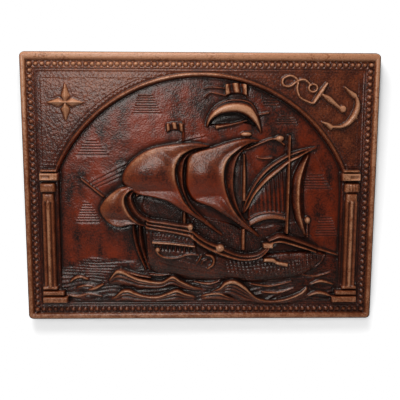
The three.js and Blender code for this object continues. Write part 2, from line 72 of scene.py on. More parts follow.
RIM_SIDE = 7.5
RIM_TOP = 10
RIM_BOTTOM = 8.5

PICTURE_HALF = 169
SILL = -137
SPRING = 24
ARCH_TOP = 133
ARCH_RADIUS = (PICTURE_HALF**2 + (ARCH_TOP - SPRING) ** 2) / (2 * (ARCH_TOP - SPRING))
ARCH_CENTRE = ARCH_TOP - ARCH_RADIUS
HORIZON = -86

print("face", 2 * HALF_WIDTH, "x", 2 * HALF_HEIGHT, "mm, arch radius", round(ARCH_RADIUS, 1))

# %% [markdown]
# The map is a grid of points half a millimetre apart, about as fine as a modelling tool can mark
# leather. Three maps of the same size go together: the height, how far the antique stain is rubbed
# off, with painted highlights and painted shade laid into the same map, and how much of the fiery
# orange dye of the sky lies there.

# %% The grid
PITCH = 0.5
COLUMNS = round(2 * HALF_WIDTH / PITCH) + 1
ROWS = round(2 * HALF_HEIGHT / PITCH) + 1
X, Z = np.meshgrid(
    np.linspace(-HALF_WIDTH, HALF_WIDTH, COLUMNS),
    np.linspace(-HALF_HEIGHT, HALF_HEIGHT, ROWS),
)
height = np.full(X.shape, float(FIELD))
wear_and_painted_light = np.full(X.shape, 0.28)
flame = np.zeros(X.shape)

print("grid", COLUMNS, "x", ROWS, "points")

# %% [markdown]
# Leather never keeps a knife-sharp edge, so a blur is needed often. A Gaussian blur is a plain
# product once the map is written as waves, which is what the Fourier transform does. The same blur
# makes soft cloudy noise out of random numbers, with a fixed seed so that every run is alike.

# %% Blur and noise
def soften(field, reach):
    """The map blurred over about reach millimetres."""
    pad = int(4 * reach / PITCH) + 1
    wide = np.pad(field, pad, mode="edge")
    up = np.fft.fftfreq(wide.shape[0], PITCH)[:, None]
    along = np.fft.rfftfreq(wide.shape[1], PITCH)
    gain = np.exp(-2 * (np.pi * reach) ** 2 * (up**2 + along**2))
    blurred = np.fft.irfft2(np.fft.rfft2(wide) * gain, s=wide.shape)
    return blurred[pad:-pad, pad:-pad]


def clouds(reach, seed, stretch=1):
    """Smooth noise between about -1 and 1; stretch draws it out upward."""
    spots = np.random.default_rng(seed).normal(size=(ROWS, COLUMNS))
    up = np.fft.fftfreq(ROWS, PITCH)[:, None] * stretch
    along = np.fft.rfftfreq(COLUMNS, PITCH)
    gain = np.exp(-2 * (np.pi * reach) ** 2 * (up**2 + along**2))
    soft = np.fft.irfft2(np.fft.rfft2(spots) * gain, s=spots.shape)
    return soft / (2 * soft.std())


print("noise runs from", round(clouds(5, 1).min(), 2), "to", round(clouds(5, 1).max(), 2))

# %% [markdown]
# Every form is laid into the map by one rule: where it stands higher than what is there already, it
# shows, and it brings its own rubbing and dye with it. Curved forms are first worked out as a cloud of
# points closer together than the grid, and each grid point takes the mean of the points that fall
# on it.

# %% Laying forms into the map
def raise_to(top, rub=0.15, fire=0.0):
    """Lay a form over the map wherever it stands higher."""
    over = top > height
    height[over] = top[over]
    wear_and_painted_light[over] = rub[over] if np.ndim(rub) else rub
    flame[over] = fire


def gather(x, z, values):
    """Mean of the values that fall on each grid point, and where any did."""
    row = np.rint((z + HALF_HEIGHT) / PITCH).astype(int)
    column = np.rint((x + HALF_WIDTH) / PITCH).astype(int)
    kept = (row >= 0) & (row < ROWS) & (column >= 0) & (column < COLUMNS)
    place = (row * COLUMNS + column)[kept]
    count = np.bincount(place, minlength=ROWS * COLUMNS)
    means = [
        (np.bincount(place, v[kept], ROWS * COLUMNS) / np.maximum(count, 1)).reshape(X.shape)
        for v in values
    ]
    return means, (count > 0).reshape(X.shape)


def press(x, z, top, rub):
    """Lay in a form that is given as a cloud of points."""
    x, z, top, rub = (a.ravel() for a in np.broadcast_arrays(x, z, top, rub))
    (top, rub), hit = gather(x, z, [top, rub])
    raise_to(np.where(hit, top, -1.0), rub)


# %% [markdown]
# Two kinds of form do most of the work. A sheet lies between two curves, like a sail between its
# edges or a plank between two seams, with a section that says how high it stands on the way across.
# A roll follows one curve, like a spar or a rope. The curves are Catmull-Rom splines, which pass
# through every point that is given, so a few well-placed points are enough.

# %% Curves
def spline(points, count):
    """Points evenly spread along a smooth curve through the given points."""
    p = np.array(points, float)
    p = np.vstack([p[:1], p, p[-1:]])
    t = np.linspace(0, len(points) - 1, count)
    i = np.minimum(t.astype(int), len(points) - 2)
    f = (t - i)[:, None]
    a, b, c, d = p[i], p[i + 1], p[i + 2], p[i + 3]
    bend = 2 * a - 5 * b + 4 * c - d + f * (3 * (b - c) + d - a)
    return b + 0.5 * f * (c - a + f * bend)


def samples(length):
    """How many points cover a length more finely than the grid."""
    return int(length / (0.55 * PITCH)) + 2


def length_of(points):
    """Length of the straight lines through the points."""
    return np.linalg.norm(np.diff(np.array(points, float), axis=0), axis=1).sum()


def tapering(t):
    """A form that runs out to nothing at both tips."""
    return np.sqrt(np.clip(5 * np.minimum(t, 1 - t), 0, 1))


# %% Sheets and rolls
def sheet(first, second, section, lift=None, ground=SKY):
    """A form between two curves. The section lists (share of the way across, height, rubbing)."""
    count = samples(1.25 * max(length_of(first), length_of(second)))
    a = spline(first, count)
    b = spline(second, count)
    across = samples(1.1 * np.linalg.norm(b - a, axis=1).max())
    share = np.linspace(0, 1, across)
    smooth = spline(section, 200)
    top = np.interp(share, smooth[:, 0], smooth[:, 1])
    rub = np.interp(share, smooth[:, 0], smooth[:, 2])
    if lift is not None:
        top = ground + (top - ground) * lift(np.linspace(0, 1, count))[:, None]
    x = a[:, :1] + (b - a)[:, :1] * share
    z = a[:, 1:] + (b - a)[:, 1:] * share
    press(x, z, top, np.clip(rub, 0, 1))


def strip(points, widths):
    """Points all over a band along a curve, and how far each is from its middle, -1 to 1."""
    count = samples(1.25 * length_of(points))
    centre = spline(points, count)
    ahead = np.gradient(centre, axis=0)
    ahead /= np.maximum(np.linalg.norm(ahead, axis=1, keepdims=True), 1e-9)
    half = np.full(count, widths[0] / 2)
    if len(widths) > 1:
        half = spline([[i, w] for i, w in enumerate(widths)], count)[:, 1] / 2
    side = np.linspace(-1, 1, samples(2 * half.max()) + 2)
    x = centre[:, :1] - ahead[:, 1:] * half[:, None] * side
    z = centre[:, 1:] + ahead[:, :1] * half[:, None] * side
    return x, z, side


def roll(points, widths, crest, foot, rub=0.8):
    """A rounded form along a curve, such as a spar, a rope or a moulding."""
    x, z, side = strip(points, widths)
    top = foot + (crest - foot) * np.sqrt(1 - 0.98 * side**2)
    press(x, z, top, rub * (1 - 0.6 * side**2))


def score(points, width, depth):
    """A line pressed into whatever is there, or raised where depth is negative."""
    x, z, side = strip(points, [width])
    x, z, mark = (a.ravel() for a in np.broadcast_arrays(x, z, 1 - side**2))
    (mark,), hit = gather(x, z, [mark])
    height[hit] -= depth * mark[hit]


print("a 100 mm curve takes", samples(100), "points")

# %% [markdown]
# Small tools: a round punch for beads and stippling, a block with bevelled edges, hatching with
# parallel lines inside an outline, and the zigzag wheel that was run round the border.

# %% Punches, blocks and hatching
def domes(x, z, radius, rise, rub=0.5):
    """Round beads standing on whatever is there."""
    x, z = np.array(x, float), np.array(z, float)
    row = np.clip(np.rint((z + HALF_HEIGHT) / PITCH).astype(int), 0, ROWS - 1)
    column = np.clip(np.rint((x + HALF_WIDTH) / PITCH).astype(int), 0, COLUMNS - 1)
    base = height[row, column]
    reach = np.arange(-radius, radius, 0.5 * PITCH)
    dx, dz = np.meshgrid(reach, reach)
    off = np.hypot(dx, dz) / radius
    dx, dz, off = dx[off < 1], dz[off < 1], off[off < 1]
    cap = rise * np.sqrt(1 - off**2)
    press(x[:, None] + dx, z[:, None] + dz, base[:, None] + cap, rub)


def block(left, right, bottom, top, face, bevel=1, rub=0.6):
    """A flat-faced block with rounded edges."""
    edge = np.minimum(np.minimum(X - left, right - X), np.minimum(Z - bottom, top - Z))
    drop = bevel * (1 - np.clip(edge / bevel, 0, 1)) ** 2
    raise_to(np.where(edge >= 0, face - drop, -1.0), rub)


def inside(outline):
    """Which grid points lie inside a closed outline."""
    found = np.zeros(X.shape, bool)
    corners = zip(outline, outline[1:] + outline[:1])
    for (ax, az), (bx, bz) in corners:
        if az == bz:
            continue
        crosses = (Z < az) != (Z < bz)
        found ^= crosses & (X < ax + (Z - az) * (bx - ax) / (bz - az))
    return found


def hatch(region, angle, pitch, depth, width=0.3):
    """Parallel lines pressed in, at an angle in degrees."""
    turn = math.radians(angle)
    phase = (X * math.sin(turn) + Z * math.cos(turn)) / pitch % 1
    groove = np.clip(1 - np.abs(phase - 0.5) / width, 0, 1)
    height[region] -= depth * groove[region]


def zigzag(along, across, pitch, swing, width=0.7):
    """A zigzag line, 1 on the line and 0 off it."""
    middle = swing * (4 * np.abs(along / pitch % 1 - 0.5) - 1)
    return np.clip(1 - np.abs(across - middle) / width, 0, 1)


print("tools ready")

# %% [markdown]
# ## The rim and the border
#
# The rim is a plain round roll where the hide turns over the board's edge, wider along the top. Its
# section is drawn once and laid all round by how far each point is from the edge. It has been handled
# most, so the stain is nearly rubbed off it. Along the top it is painted paler still, a painted
# highlight where the light from above falls.

# %% The rim
inset = np.minimum.reduce(
    [
        (HALF_WIDTH - np.abs(X)) / RIM_SIDE,
        (HALF_HEIGHT - Z) / RIM_TOP,
        (HALF_HEIGHT + Z) / RIM_BOTTOM,
    ]
)
rim_section = spline(
    [[0, SIDE], [0.06, SIDE + 3], [0.25, RIM - 0.5], [0.5, RIM], [0.8, RIM - 0.6], [1, FIELD]], 80
)
rim = np.interp(inset, rim_section[:, 0], rim_section[:, 1])
on_rim = inset <= 1
height[on_rim] = rim[on_rim]
wear_and_painted_light[on_rim] = 0.62
# Painted highlight: the top of the rim is painted paler, as if lit from above.
wear_and_painted_light[on_rim & (Z > HALF_HEIGHT - RIM_TOP)] = 0.95

print("rim covers", round(100 * on_rim.mean(), 1), "% of the face")

# %% [markdown]
# Inside the rim runs a row of pressed beads with a small dot above and below each gap, then two fine
# ridges, and along the sides and the top a band of zigzag. Beads and ridges follow the rim, so they
# are placed by their distance from its inner edge.

# %% Beads, ridges and zigzag
BEAD_PITCH = 7.25
BEAD_INSET = 4.2
inner_x = HALF_WIDTH - RIM_SIDE
inner_top = HALF_HEIGHT - RIM_TOP
inner_bottom = -HALF_HEIGHT + RIM_BOTTOM


def ring(side, top, bottom):
    """Signed distance from a rectangle set in from the rim by different amounts."""
    return np.minimum.reduce([inner_x - side - np.abs(X), inner_top - top - Z, Z - inner_bottom - bottom])


def ridge(distance, width, rise):
    """A fine ridge along the line where a distance is zero, or a groove."""
    height[:] += rise * np.clip(1 - np.abs(distance) / width, 0, 1)


def bead_row(start, end, fixed, upright):
    """Beads evenly spaced along a line, with dots beside the gaps."""
    count = round((end - start) / BEAD_PITCH)
    beads = np.linspace(start, end, count + 1)
    gaps = (beads[1:] + beads[:-1]) / 2
    for places, aside, radius, rise in [
        (beads, 0, 2.5, 2.1),
        (gaps, 3.1, 0.9, 0.9),
        (gaps, -3.1, 0.9, 0.9),
    ]:
        line = np.full(len(places), fixed + aside)
        pair = (line, places) if upright else (places, line)
        domes(*pair, radius, rise, 0.55)


ridge(ring(0.2, 0.2, 0.2), 0.9, -1.0)
bead_x = inner_x - BEAD_INSET
bead_low = inner_bottom + BEAD_INSET
bead_high = inner_top - BEAD_INSET
for level in (bead_low, bead_high):
    bead_row(-bead_x, bead_x, level, upright=False)
for edge in (-bead_x, bead_x):
    bead_row(bead_low, bead_high, edge, upright=True)
ridge(ring(8.4, 8.4, 8.4), 0.7, 0.7)
ridge(ring(9.6, 9.6, 9.6), 0.7, -0.7)
ridge(ring(11, 11, 11), 0.8, 0.9)

# %% The zigzag band
above_capitals = Z > SPRING + 4
top_band = zigzag(X, Z - 133.6, 5.2, 1.7)
side_band = zigzag(Z, np.abs(X) - 188.5, 4.6, 1.3)
corner_line = ring(16.5, 19, 0)
in_top = (np.abs(Z - 133.6) < 2.6) & (np.abs(X) < 187)
in_side = (np.abs(np.abs(X) - 188.5) < 2) & (Z < 136) & above_capitals
height[in_top] += 0.6 * top_band[in_top]
height[in_side] += 0.6 * side_band[in_side]
line = np.clip(1 - np.abs(corner_line) / 0.7, 0, 1) * above_capitals
height[:] += 0.6 * line

print("beads every", BEAD_PITCH, "mm")

# %% [markdown]
# ## The arch
#
# Under the arch the leather drops to a deeper ground for the picture. The edge is marked by a rope
# roll, with a chased zigzag and a fine line following it outside. All of these are rings about one
# centre, so they need only the distance from it. The corners above the arch are stippled all over
# with a blunt punch, at about 2.3 mm, by jittering an even grid of dots.

# %% The arch and its ground
radius = np.hypot(X, Z - ARCH_CENTRE)
angle = np.arctan2(X, Z - ARCH_CENTRE)
opening = (np.abs(X) < PICTURE_HALF) & (Z > SILL) & ((Z < SPRING) | (radius < ARCH_RADIUS))
over_arch = (Z > SPRING) & ~opening
height[opening] = SKY
flame[opening] = 1.0
wear_and_painted_light[opening] = 0.1

outward = radius - ARCH_RADIUS
arch_roll = FIELD - 1 + 3.8 * np.sqrt(np.clip(1 - ((outward - 1.7) / 2.3) ** 2, 0, 1))
on_roll = (np.abs(outward - 1.7) < 2.3) & (Z > SPRING - 1) & (np.abs(X) < 178)
raise_to(np.where(on_roll, arch_roll, -1.0), 0.35)

in_chevrons = over_arch & (np.abs(outward - 7.3) < 2.4) & (ring(17, 20, 0) > 0)
chevrons = zigzag(angle * ARCH_RADIUS, outward - 7.3, 5.2, 1.6)
height[in_chevrons] += 0.6 * chevrons[in_chevrons]
arch_line = np.clip(1 - np.abs(outward - 10.8) / 0.7, 0, 1) * (over_arch & (ring(17, 20, 0) > 0))
height[:] += 0.7 * arch_line
arch_groove = np.clip(1 - np.abs(outward - 4.7) / 0.9, 0, 1) * over_arch
height[:] -= 0.8 * arch_groove

# %% Stippled corners
STIPPLE = 2.3
stagger = np.random.default_rng(4)
dot_x, dot_z = np.meshgrid(
    np.arange(-185, 185, STIPPLE),
    np.arange(SPRING + 8, 130, STIPPLE),
)
dot_x = dot_x + stagger.uniform(-0.8, 0.8, dot_x.shape)
dot_z = dot_z + stagger.uniform(-0.8, 0.8, dot_z.shape)
free = np.hypot(dot_x, dot_z - ARCH_CENTRE) > ARCH_RADIUS + 12.5
domes(dot_x[free], dot_z[free], 1.1, 0.32, 0.38)

print(int(free.sum()), "stippled dots above the arch")

# %% [markdown]
# ## The columns
#
# Two small columns carry the arch. Each shaft is three upright reeds, the middle one proud, and the
# capitals and bases are stacked blocks and cushions. The right-hand capital is a cup of leaves, which
# is the same cushion with grooves from top to bottom.

# %% Columns
COLUMN_X = 181
COLUMN_FACE = FIELD + 5.5
SHAFT_WIDTH = 15


def cushion(x, half, low, high, face, ribs=0):
    """A rounded cushion, with upright grooves if it has ribs."""
    up = (2 * Z - low - high) / (high - low)
    bulge = np.sqrt(np.clip(1 - up**4, 0, 1))
    aside = (X - x) / (half * (0.82 + 0.18 * bulge))
    rise = np.minimum(bulge, np.sqrt(np.clip(1 - aside**4, 0, 1)))
    if ribs:
        rise = rise * (1 - 0.3 * np.abs(np.cos(np.pi * ribs * aside / 2)) ** 6)
    shown = (np.abs(up) < 1) & (np.abs(aside) < 1)
    raise_to(np.where(shown, FIELD + 1.5 + (face - FIELD - 1.5) * rise, -1.0), 0.6)


def shaft(x):
    """Three reeds side by side."""
    pitch = SHAFT_WIDTH / 3
    for number in (-1, 0, 1):
        aside = (X - x - number * pitch) / (pitch / 2)
        crest = COLUMN_FACE + (1.2 if number == 0 else 0)
        top = crest - 3 + 3 * np.sqrt(np.clip(1 - aside**2, 0, 1))
        shown = (np.abs(aside) < 1) & (Z > -118) & (Z < -13)
        raise_to(np.where(shown, top, -1.0), 0.7 if number == 0 else 0.5)


def column(x, towards, ribs):
    """One column; towards is 1 where the picture lies to its right."""

    def slab(outer, inner, low, high, face, rub):
        ends = sorted([x - towards * outer, x + towards * inner])
        block(*ends, low, high, face, 1.2, rub)

    shaft(x)
    cushion(x, 7, -16, -4, COLUMN_FACE + 0.5)
    cushion(x, 9.2, -3.5, 8, COLUMN_FACE + 2, ribs)
    slab(9, 13, 10.5, 19.5, COLUMN_FACE + 1.5, 0.85)
    slab(8, 12, 20.5, 23.5, COLUMN_FACE + 0.5, 0.6)
    slab(9, 9, -121.5, -117.5, COLUMN_FACE + 0.5, 0.6)
    slab(9, 17, -128.5, -123, COLUMN_FACE + 1.5, 0.6)
    slab(9, 21, -137.5, -130, COLUMN_FACE + 2.5, 0.6)
    panel = (np.abs(X - x + towards * 1.5) < 5) & (np.abs(Z - 14.7) < 2)
    height[panel] -= 1.6


column(-COLUMN_X, 1, 0)
column(COLUMN_X, -1, 5)
ridge(np.where(np.abs(np.abs(X) - 180) < 11, Z - 26.2, 9.0), 0.6, 0.6)
ridge(np.where(np.abs(np.abs(X) - 180) < 11, Z - 28.8, 9.0), 0.6, 0.6)

print("columns stand", COLUMN_FACE + 3.9, "mm off the wall")

# %% [markdown]
# ## The star and the anchor
#
# A compass star of four ridged points, and an anchor with its rope and ring. A star point is a kite:
# the height falls evenly from its ridge to its edge, so it can be written directly.

# %% The star
STAR_X, STAR_Z = -158, 102
for quarter in range(4):
    turn = quarter * math.pi / 2
    along = (X - STAR_X) * math.cos(turn) + (Z - STAR_Z) * math.sin(turn)
    across = np.abs((Z - STAR_Z) * math.cos(turn) - (X - STAR_X) * math.sin(turn))
    half = np.interp(along, [-1.5, 7.5, 21.5], [0, 5.4, 0])
    swell = np.interp(along, [-1.5, 6, 21.5], [3.2, 4.6, 1.4])
    shown = (half > 0) & (across < half)
    raise_to(
        np.where(shown, FIELD + swell * (1 - across / np.maximum(half, 0.01)) + 0.5, -1.0), 0.95
    )

# %% The anchor
ANCHOR_FOOT = FIELD - 0.5
ANCHOR_TOP = FIELD + 4.8
stock = [[147.5, 125.5], [139.5, 113], [131.5, 101.5]]
shank = [[142, 112], [150, 107], [160, 99], [168, 93]]
arms = [[180, 113], [184, 103], [183, 93], [176, 81], [166, 75], [155, 74.5]]
rope = [
    [130, 102],
    [117, 108],
    [112.5, 118],
    [113, 128],
    [105, 133.5],
    [96, 130],
    [96, 123],
    [104, 121.5],
    [113, 127.5],
    [121, 129],
    [127, 124],
]
turn = np.linspace(1.9, 1.9 + 1.9 * math.pi, 9)
link = np.stack([131 + 5 * np.cos(turn), 119.5 + 4.5 * np.sin(turn)], axis=1)
roll(rope, [3], FIELD + 2.8, ANCHOR_FOOT, 0.75)
roll(link.tolist(), [2.6], FIELD + 3.2, ANCHOR_FOOT, 0.85)
roll(shank, [3.5, 7, 4.4, 4], ANCHOR_TOP, ANCHOR_FOOT, 0.9)
roll(stock, [3, 6, 3], ANCHOR_TOP, ANCHOR_FOOT, 0.9)
roll(arms, [2.5, 5.5, 8, 7, 4.5, 2.5], ANCHOR_TOP + 0.4, ANCHOR_FOOT, 0.9)
roll([[168, 121], [173, 116], [181, 110]], [0.8, 4.5, 7], ANCHOR_TOP + 0.2, ANCHOR_FOOT, 0.95)
roll([[143, 80], [149, 77.5], [155, 73]], [0.8, 5, 7], ANCHOR_TOP + 0.2, ANCHOR_FOOT, 0.95)
roll([[180, 92], [184, 83.5]], [5, 1], ANCHOR_TOP, ANCHOR_FOOT, 0.9)
domes([167], [95.5], 3.8, 1.4, 0.95)
for share in np.linspace(0.04, 0.96, 24):
    x, z = spline(rope, 200)[int(share * 199)]
    score([[x - 1.2, z - 1.2], [x + 1.2, z + 1.2]], 0.9, 0.6)

print("anchor and star stand", ANCHOR_TOP, "mm off the wall")

# %% [markdown]
# ## The sky
#
# Banks of cloud are only strokes, ruled across the sky with a fine tool, and each one longer than the
# one above. Ropes run through the sky to the stern, as pairs of thin ridges.

# %% Clouds
def cloud_bank(left, right, low, high, strokes, narrowing=0.7):
    """Ruled strokes, one above the other, that grow longer towards the lowest."""
    middle = left + 0.45 * (right - left)
    for number in range(strokes):
        share = number / (strokes - 1)
        z = low + (high - low) * share
        reach = 1 - narrowing * share
        ends = [middle + (left - middle) * reach, middle + (right - middle) * reach]
        score([[ends[0], z], [ends[1], z]], 1.4, 0.9)
        score([[ends[0], z + 1.3], [ends[1], z + 1.3]], 1.3, -0.55)
        tint([[ends[0], z + 1.3], [ends[1], z + 1.3]], 1.6, 0.35)


def tint(points, width, amount):
    """Rub the stain off along a line, without changing the shape."""
    x, z, side = strip(points, [width])
    x, z, mark = (a.ravel() for a in np.broadcast_arrays(x, z, 1 - side**2))
    (mark,), hit = gather(x, z, [mark])
    wear_and_painted_light[hit] += amount * mark[hit]


CLOUD_BANKS = [
    (-148, -110, 41, 57, 6, 0.7),
    (-80, -48, 90, 110, 8, 0.5),
    (-150, -122, -40, -18, 8, 0.7),
    (91, 114, 78, 86, 4, 0.3),
    (121, 158, 1, 17, 6, 0.6),
    (140, 167, -57, -35, 8, 0.5),
    (74, 92, 99, 106, 3, 0.3),
]
for bank in CLOUD_BANKS:
    cloud_bank(*bank)

# %% Ropes in the sky
SKY_ROPES = [
    [[-134, 8], [-88, 31]],
    [[-130, 5], [-90, 24]],
    [[-128, 2], [-94, 17]],
    [[-62, 44], [-20, 58], [4, 64]],
    [[54, 41], [60, 29], [66, 17]],
    [[121, -42], [152, -77]],
    [[137, 44], [152, 12], [158, -10]],
    [[107, -43], [112, -42], [117, -47]],
    [[-112, -36], [-107, -50], [-100, -60]],
]
for path in SKY_ROPES:
    score(path, 1.1, -0.8)
    score([[x + 0.3, z - 1.3] for x, z in path], 1.1, 0.6)
    tint(path, 1.4, 0.25)

print(len(CLOUD_BANKS), "banks of cloud,", len(SKY_ROPES), "ropes")

# %% [markdown]
# The sky isn't even. The dye went on with a wet sponge, so it lies in streaks and patches, burnt
# orange low in the sky and browner towards the arch. Under the dye the hide itself is a little uneven.

# %% Dye in the sky, and a painted highlight near the top
def glow(x, z, wide, high, amount):
    """A soft patch, strongest at its middle."""
    return amount * np.exp(-(((X - x) / wide) ** 2) - ((Z - z) / high) ** 2)


streaks = clouds(5, 21, 3.5) + 0.7 * clouds(2.2, 22, 4)
patches = clouds(16, 23, 1.3)
dye = 0.45 + 0.42 * streaks + 0.3 * patches
dye += glow(-130, -15, 28, 60, 0.35) + glow(150, -20, 22, 45, 0.45) + glow(82, 40, 24, 16, 0.4)
dye += glow(-110, 55, 30, 22, 0.25) - glow(0, 115, 120, 26, 0.3) - glow(120, 75, 40, 30, 0.25)
flame[:] = np.where(opening, np.clip(dye, 0, 1), flame)
# Painted highlight and sheen: towards the top, the upper left and the upper right the map is raised, so these
# parts are painted paler, as if lit from above.
wear_and_painted_light += glow(-110, 130, 120, 55, 0.25) + glow(0, 150, 230, 26, 0.25) + glow(160, 80, 60, 60, 0.2)
height[:] += np.where(opening, 0.22 * clouds(7, 24) + 0.1 * clouds(2.5, 25), 0)

print("dye covers", round(float(flame[opening].mean()), 2), "of the sky")

# %% [markdown]
# ## The sea
#
# The sea is built before the ship so that the hull stands in front of it. It rises towards the viewer.
# Its ripples are waves of a wave: sharp crests along lines that wander, closer together far away.

# %% Swell and ripples
shore = HORIZON + 1.5 * np.sin(X / 11) + 1.2 * np.sin(X / 5.3 + 2)
below = opening & (Z < shore)
depth = np.clip((HORIZON - Z) / (HORIZON - SILL), 0, 1)
slope = SKY + 0.4 + 4.6 * depth
wander = 2.2 * np.sin(X / 17 + Z / 9) + 1.3 * np.sin(X / 7.3 - Z / 5 + 1) + 3 * clouds(12, 7, 0.6)
ripple_pitch = 3.0 + 2.6 * depth
phase = np.cumsum(PITCH / ripple_pitch, axis=0) + wander * (0.35 + 0.5 * depth) / 4
ripples = 1 - np.abs(np.sin(np.pi * phase))
patchy = np.clip(0.6 + 0.6 * clouds(10, 9, 0.5), 0.1, 1)
sea_surface = slope + (0.6 + 0.9 * depth) * patchy * ripples**1.5 + 0.8 * clouds(8, 8, 0.6)
raise_to(np.where(below, sea_surface, -1.0), 0.04 + 0.22 * patchy * ripples**2)
flame[below] = 0.2 * (1 - depth[below])

print("sea rises to", round(float(slope.max()), 1), "mm")

# %% [markdown]
# Breaking waves are sheets between a crest line and a lower edge. Their section rises steeply behind
# the crest, turns over, and then falls in parallel folds, each one picked out by rubbing. Between
# them lie smooth swells.

# %% Breaking waves
def between(first, second, share, start=0.0, end=1.0, count=24):
    """A curve that runs between two others, at a share of the way across."""
    line = spline(first, 240) * (1 - share) + spline(second, 240) * share
    return line[(np.linspace(start, end, count) * 239).astype(int)].tolist()


def folds(crest, number):
    """Section of a breaker: (share of the way down its face, height, rubbing)."""
    section = [[0, crest - 3, 0.1], [0.06, crest - 0.3, 0.8], [0.12, crest, 0.95], [0.2, crest - 0.3, 0.7]]
    step = 0.6 / number
    for i in range(number):
        share = 0.26 + i * step
        fall = 0.8 + 2.8 * (share - 0.2)
        section.append([share, crest - fall - 0.9, 0.05])
        section.append([share + 0.5 * step, crest - fall, 0.75 - 0.5 * share])
    return section + [[0.93, crest - 3.6, 0.1], [1, crest - 4.5, 0.1]]


BREAKERS = [
    (
        [[-112, -112], [-103, -99.5], [-95.7, -98], [-84, -104.3], [-72, -109], [-48, -112.6],
         [-34, -105.5], [-24, -111.4], [-10, -118.6], [2, -122]],
        [[-110, -117], [-103, -117], [-95, -118], [-84, -119], [-72, -122], [-50, -121.5],
         [-36, -118], [-24, -121], [-10, -124], [2, -125]],
        18.5,
        2,
    ),
    (
        [[0, -131], [10, -127.5], [23, -126.5], [33, -131], [44, -136]],
        [[0, -137], [10, -137], [23, -137.5], [33, -138], [45, -138]],
        17.5,
        1,
    ),
    (
        [[-110, -135], [-103, -130.5], [-95.7, -123.3], [-87, -122], [-79, -125.7], [-67, -129.5],
         [-53, -130.5], [-41, -126.5], [-29, -122], [-19, -127], [-5, -132]],
        [[-110, -137], [-103, -137], [-95, -137], [-87, -137.5], [-79, -138], [-67, -138],
         [-53, -138], [-41, -138], [-29, -138], [-19, -138], [-4, -137]],
        19.5,
        2,
    ),
    (
        [[12, -126], [23, -121], [31, -112.5], [42, -110.5], [54, -118], [61, -125.5], [69, -132.5],
         [82, -136.3], [95, -136], [109, -132.5], [123, -126.5], [131, -119]],
        [[14, -129], [24, -129.5], [33, -130], [43, -133], [54, -138], [62, -138.5], [70, -139.5],
         [82, -140.5], [95, -140.5], [109, -139.5], [125, -137], [137, -136]],
        19.5,
        3,
    ),
]
for back, front, crest, number in BREAKERS:
    sheet(back, front, folds(crest, number), tapering, FIELD - 2)

WAVELETS = [
    ([[-158, -113], [-152, -108.5], [-145, -107], [-137, -110]], [2, 4.5, 3], 14.5),
    ([[-136, -123], [-128, -121], [-118, -116]], [2, 4.5, 2.5], 15.5),
    ([[-165, -128], [-150, -131], [-135, -128], [-120, -131]], [1.5, 5, 4, 2], 15.5),
    ([[-150, -120], [-140, -118], [-130, -119]], [1.5, 3.5, 2], 14.5),
    ([[-98, -97], [-80, -104], [-60, -108]], [1.5, 3, 1.5], 15.5),
    ([[-62, -104], [-48, -105], [-35, -104]], [1.5, 2, 1], 15),
    ([[-8, -113], [10, -116], [24, -112]], [1.5, 3, 2], 15),
    ([[60, -116], [85, -119], [112, -113]], [1.5, 3.5, 1.5], 14.5),
    ([[75, -126], [95, -127], [115, -121]], [1.5, 3.5, 1.5], 15.5),
    ([[120, -104], [140, -107], [160, -102]], [1.5, 3, 1.5], 13),
    ([[135, -117], [148, -113], [163, -117]], [1.5, 4, 2], 14.5),
    ([[132, -131], [145, -127], [160, -131]], [2, 4.5, 2], 16.5),
]
for path, widths, crest in WAVELETS:
    roll(path, widths, crest, crest - 3, 0.7)

print(len(BREAKERS), "breakers and", len(WAVELETS), "wavelets")

# %% [markdown]
# ## Netting and boarding
#
# Behind the ship's rails hang nets and rigging. The carver cut these as plain cross-hatching, deeper
# where a shadow should fall. The hatching goes onto a patch of ground that is raised a little, so
# that it has an edge.

# %% Nets
def net(outline, level, angles=(45, -45), pitch=2.6, depth_cut=0.9, rub=0.35):
    """A patch of cross-hatched ground inside a smooth outline."""
    region = inside(spline(outline + outline[:1], 90).tolist())
    top = level + 0.25 * clouds(4, len(outline))
    raise_to(np.where(region, top, -1.0), rub)
    shown = region & (height <= top + 0.01)
    for angle in angles:
        hatch(shown, angle, pitch, depth_cut / len(angles), 0.3)
        turn = math.radians(angle)
        phase = (X * math.sin(turn) + Z * math.cos(turn)) / pitch % 1
        wear_and_painted_light[shown] -= 0.3 * np.clip(1 - np.abs(phase[shown] - 0.5) / 0.3, 0, 1)


net([[-66, -5], [-40, -12], [-22, -25], [-12, -44], [-35, -39], [-60, -34], [-70, -22]], 10.5, (62, -40), 2.4)
net([[-12, -46], [-4, -34], [10, -36], [40, -44], [52, -56], [56, -80], [30, -76],
     [8, -62]], 11, (80, 5), 2.7)
net([[56, -48], [72, -48], [92, -44], [102, -46], [84, -58], [80, -68], [70, -79],
     [56, -80]], 10.6, (75, -12), 2.5)
net([[41, 40], [48, 42], [50, 10], [50, -30], [44, -24], [40, 0]], 11.5, (50, -50), 2.2, 1.2, 0.3)
net([[104, -40], [118, -42], [128, -58], [112, -57]], 10.4, (70, -30), 2.4)

# %% [markdown]
# ## Masts, spars and flags
#
# Spars are rolls of different thickness, laid in before the sails, so that the cloth covers them where
# it hangs in front.

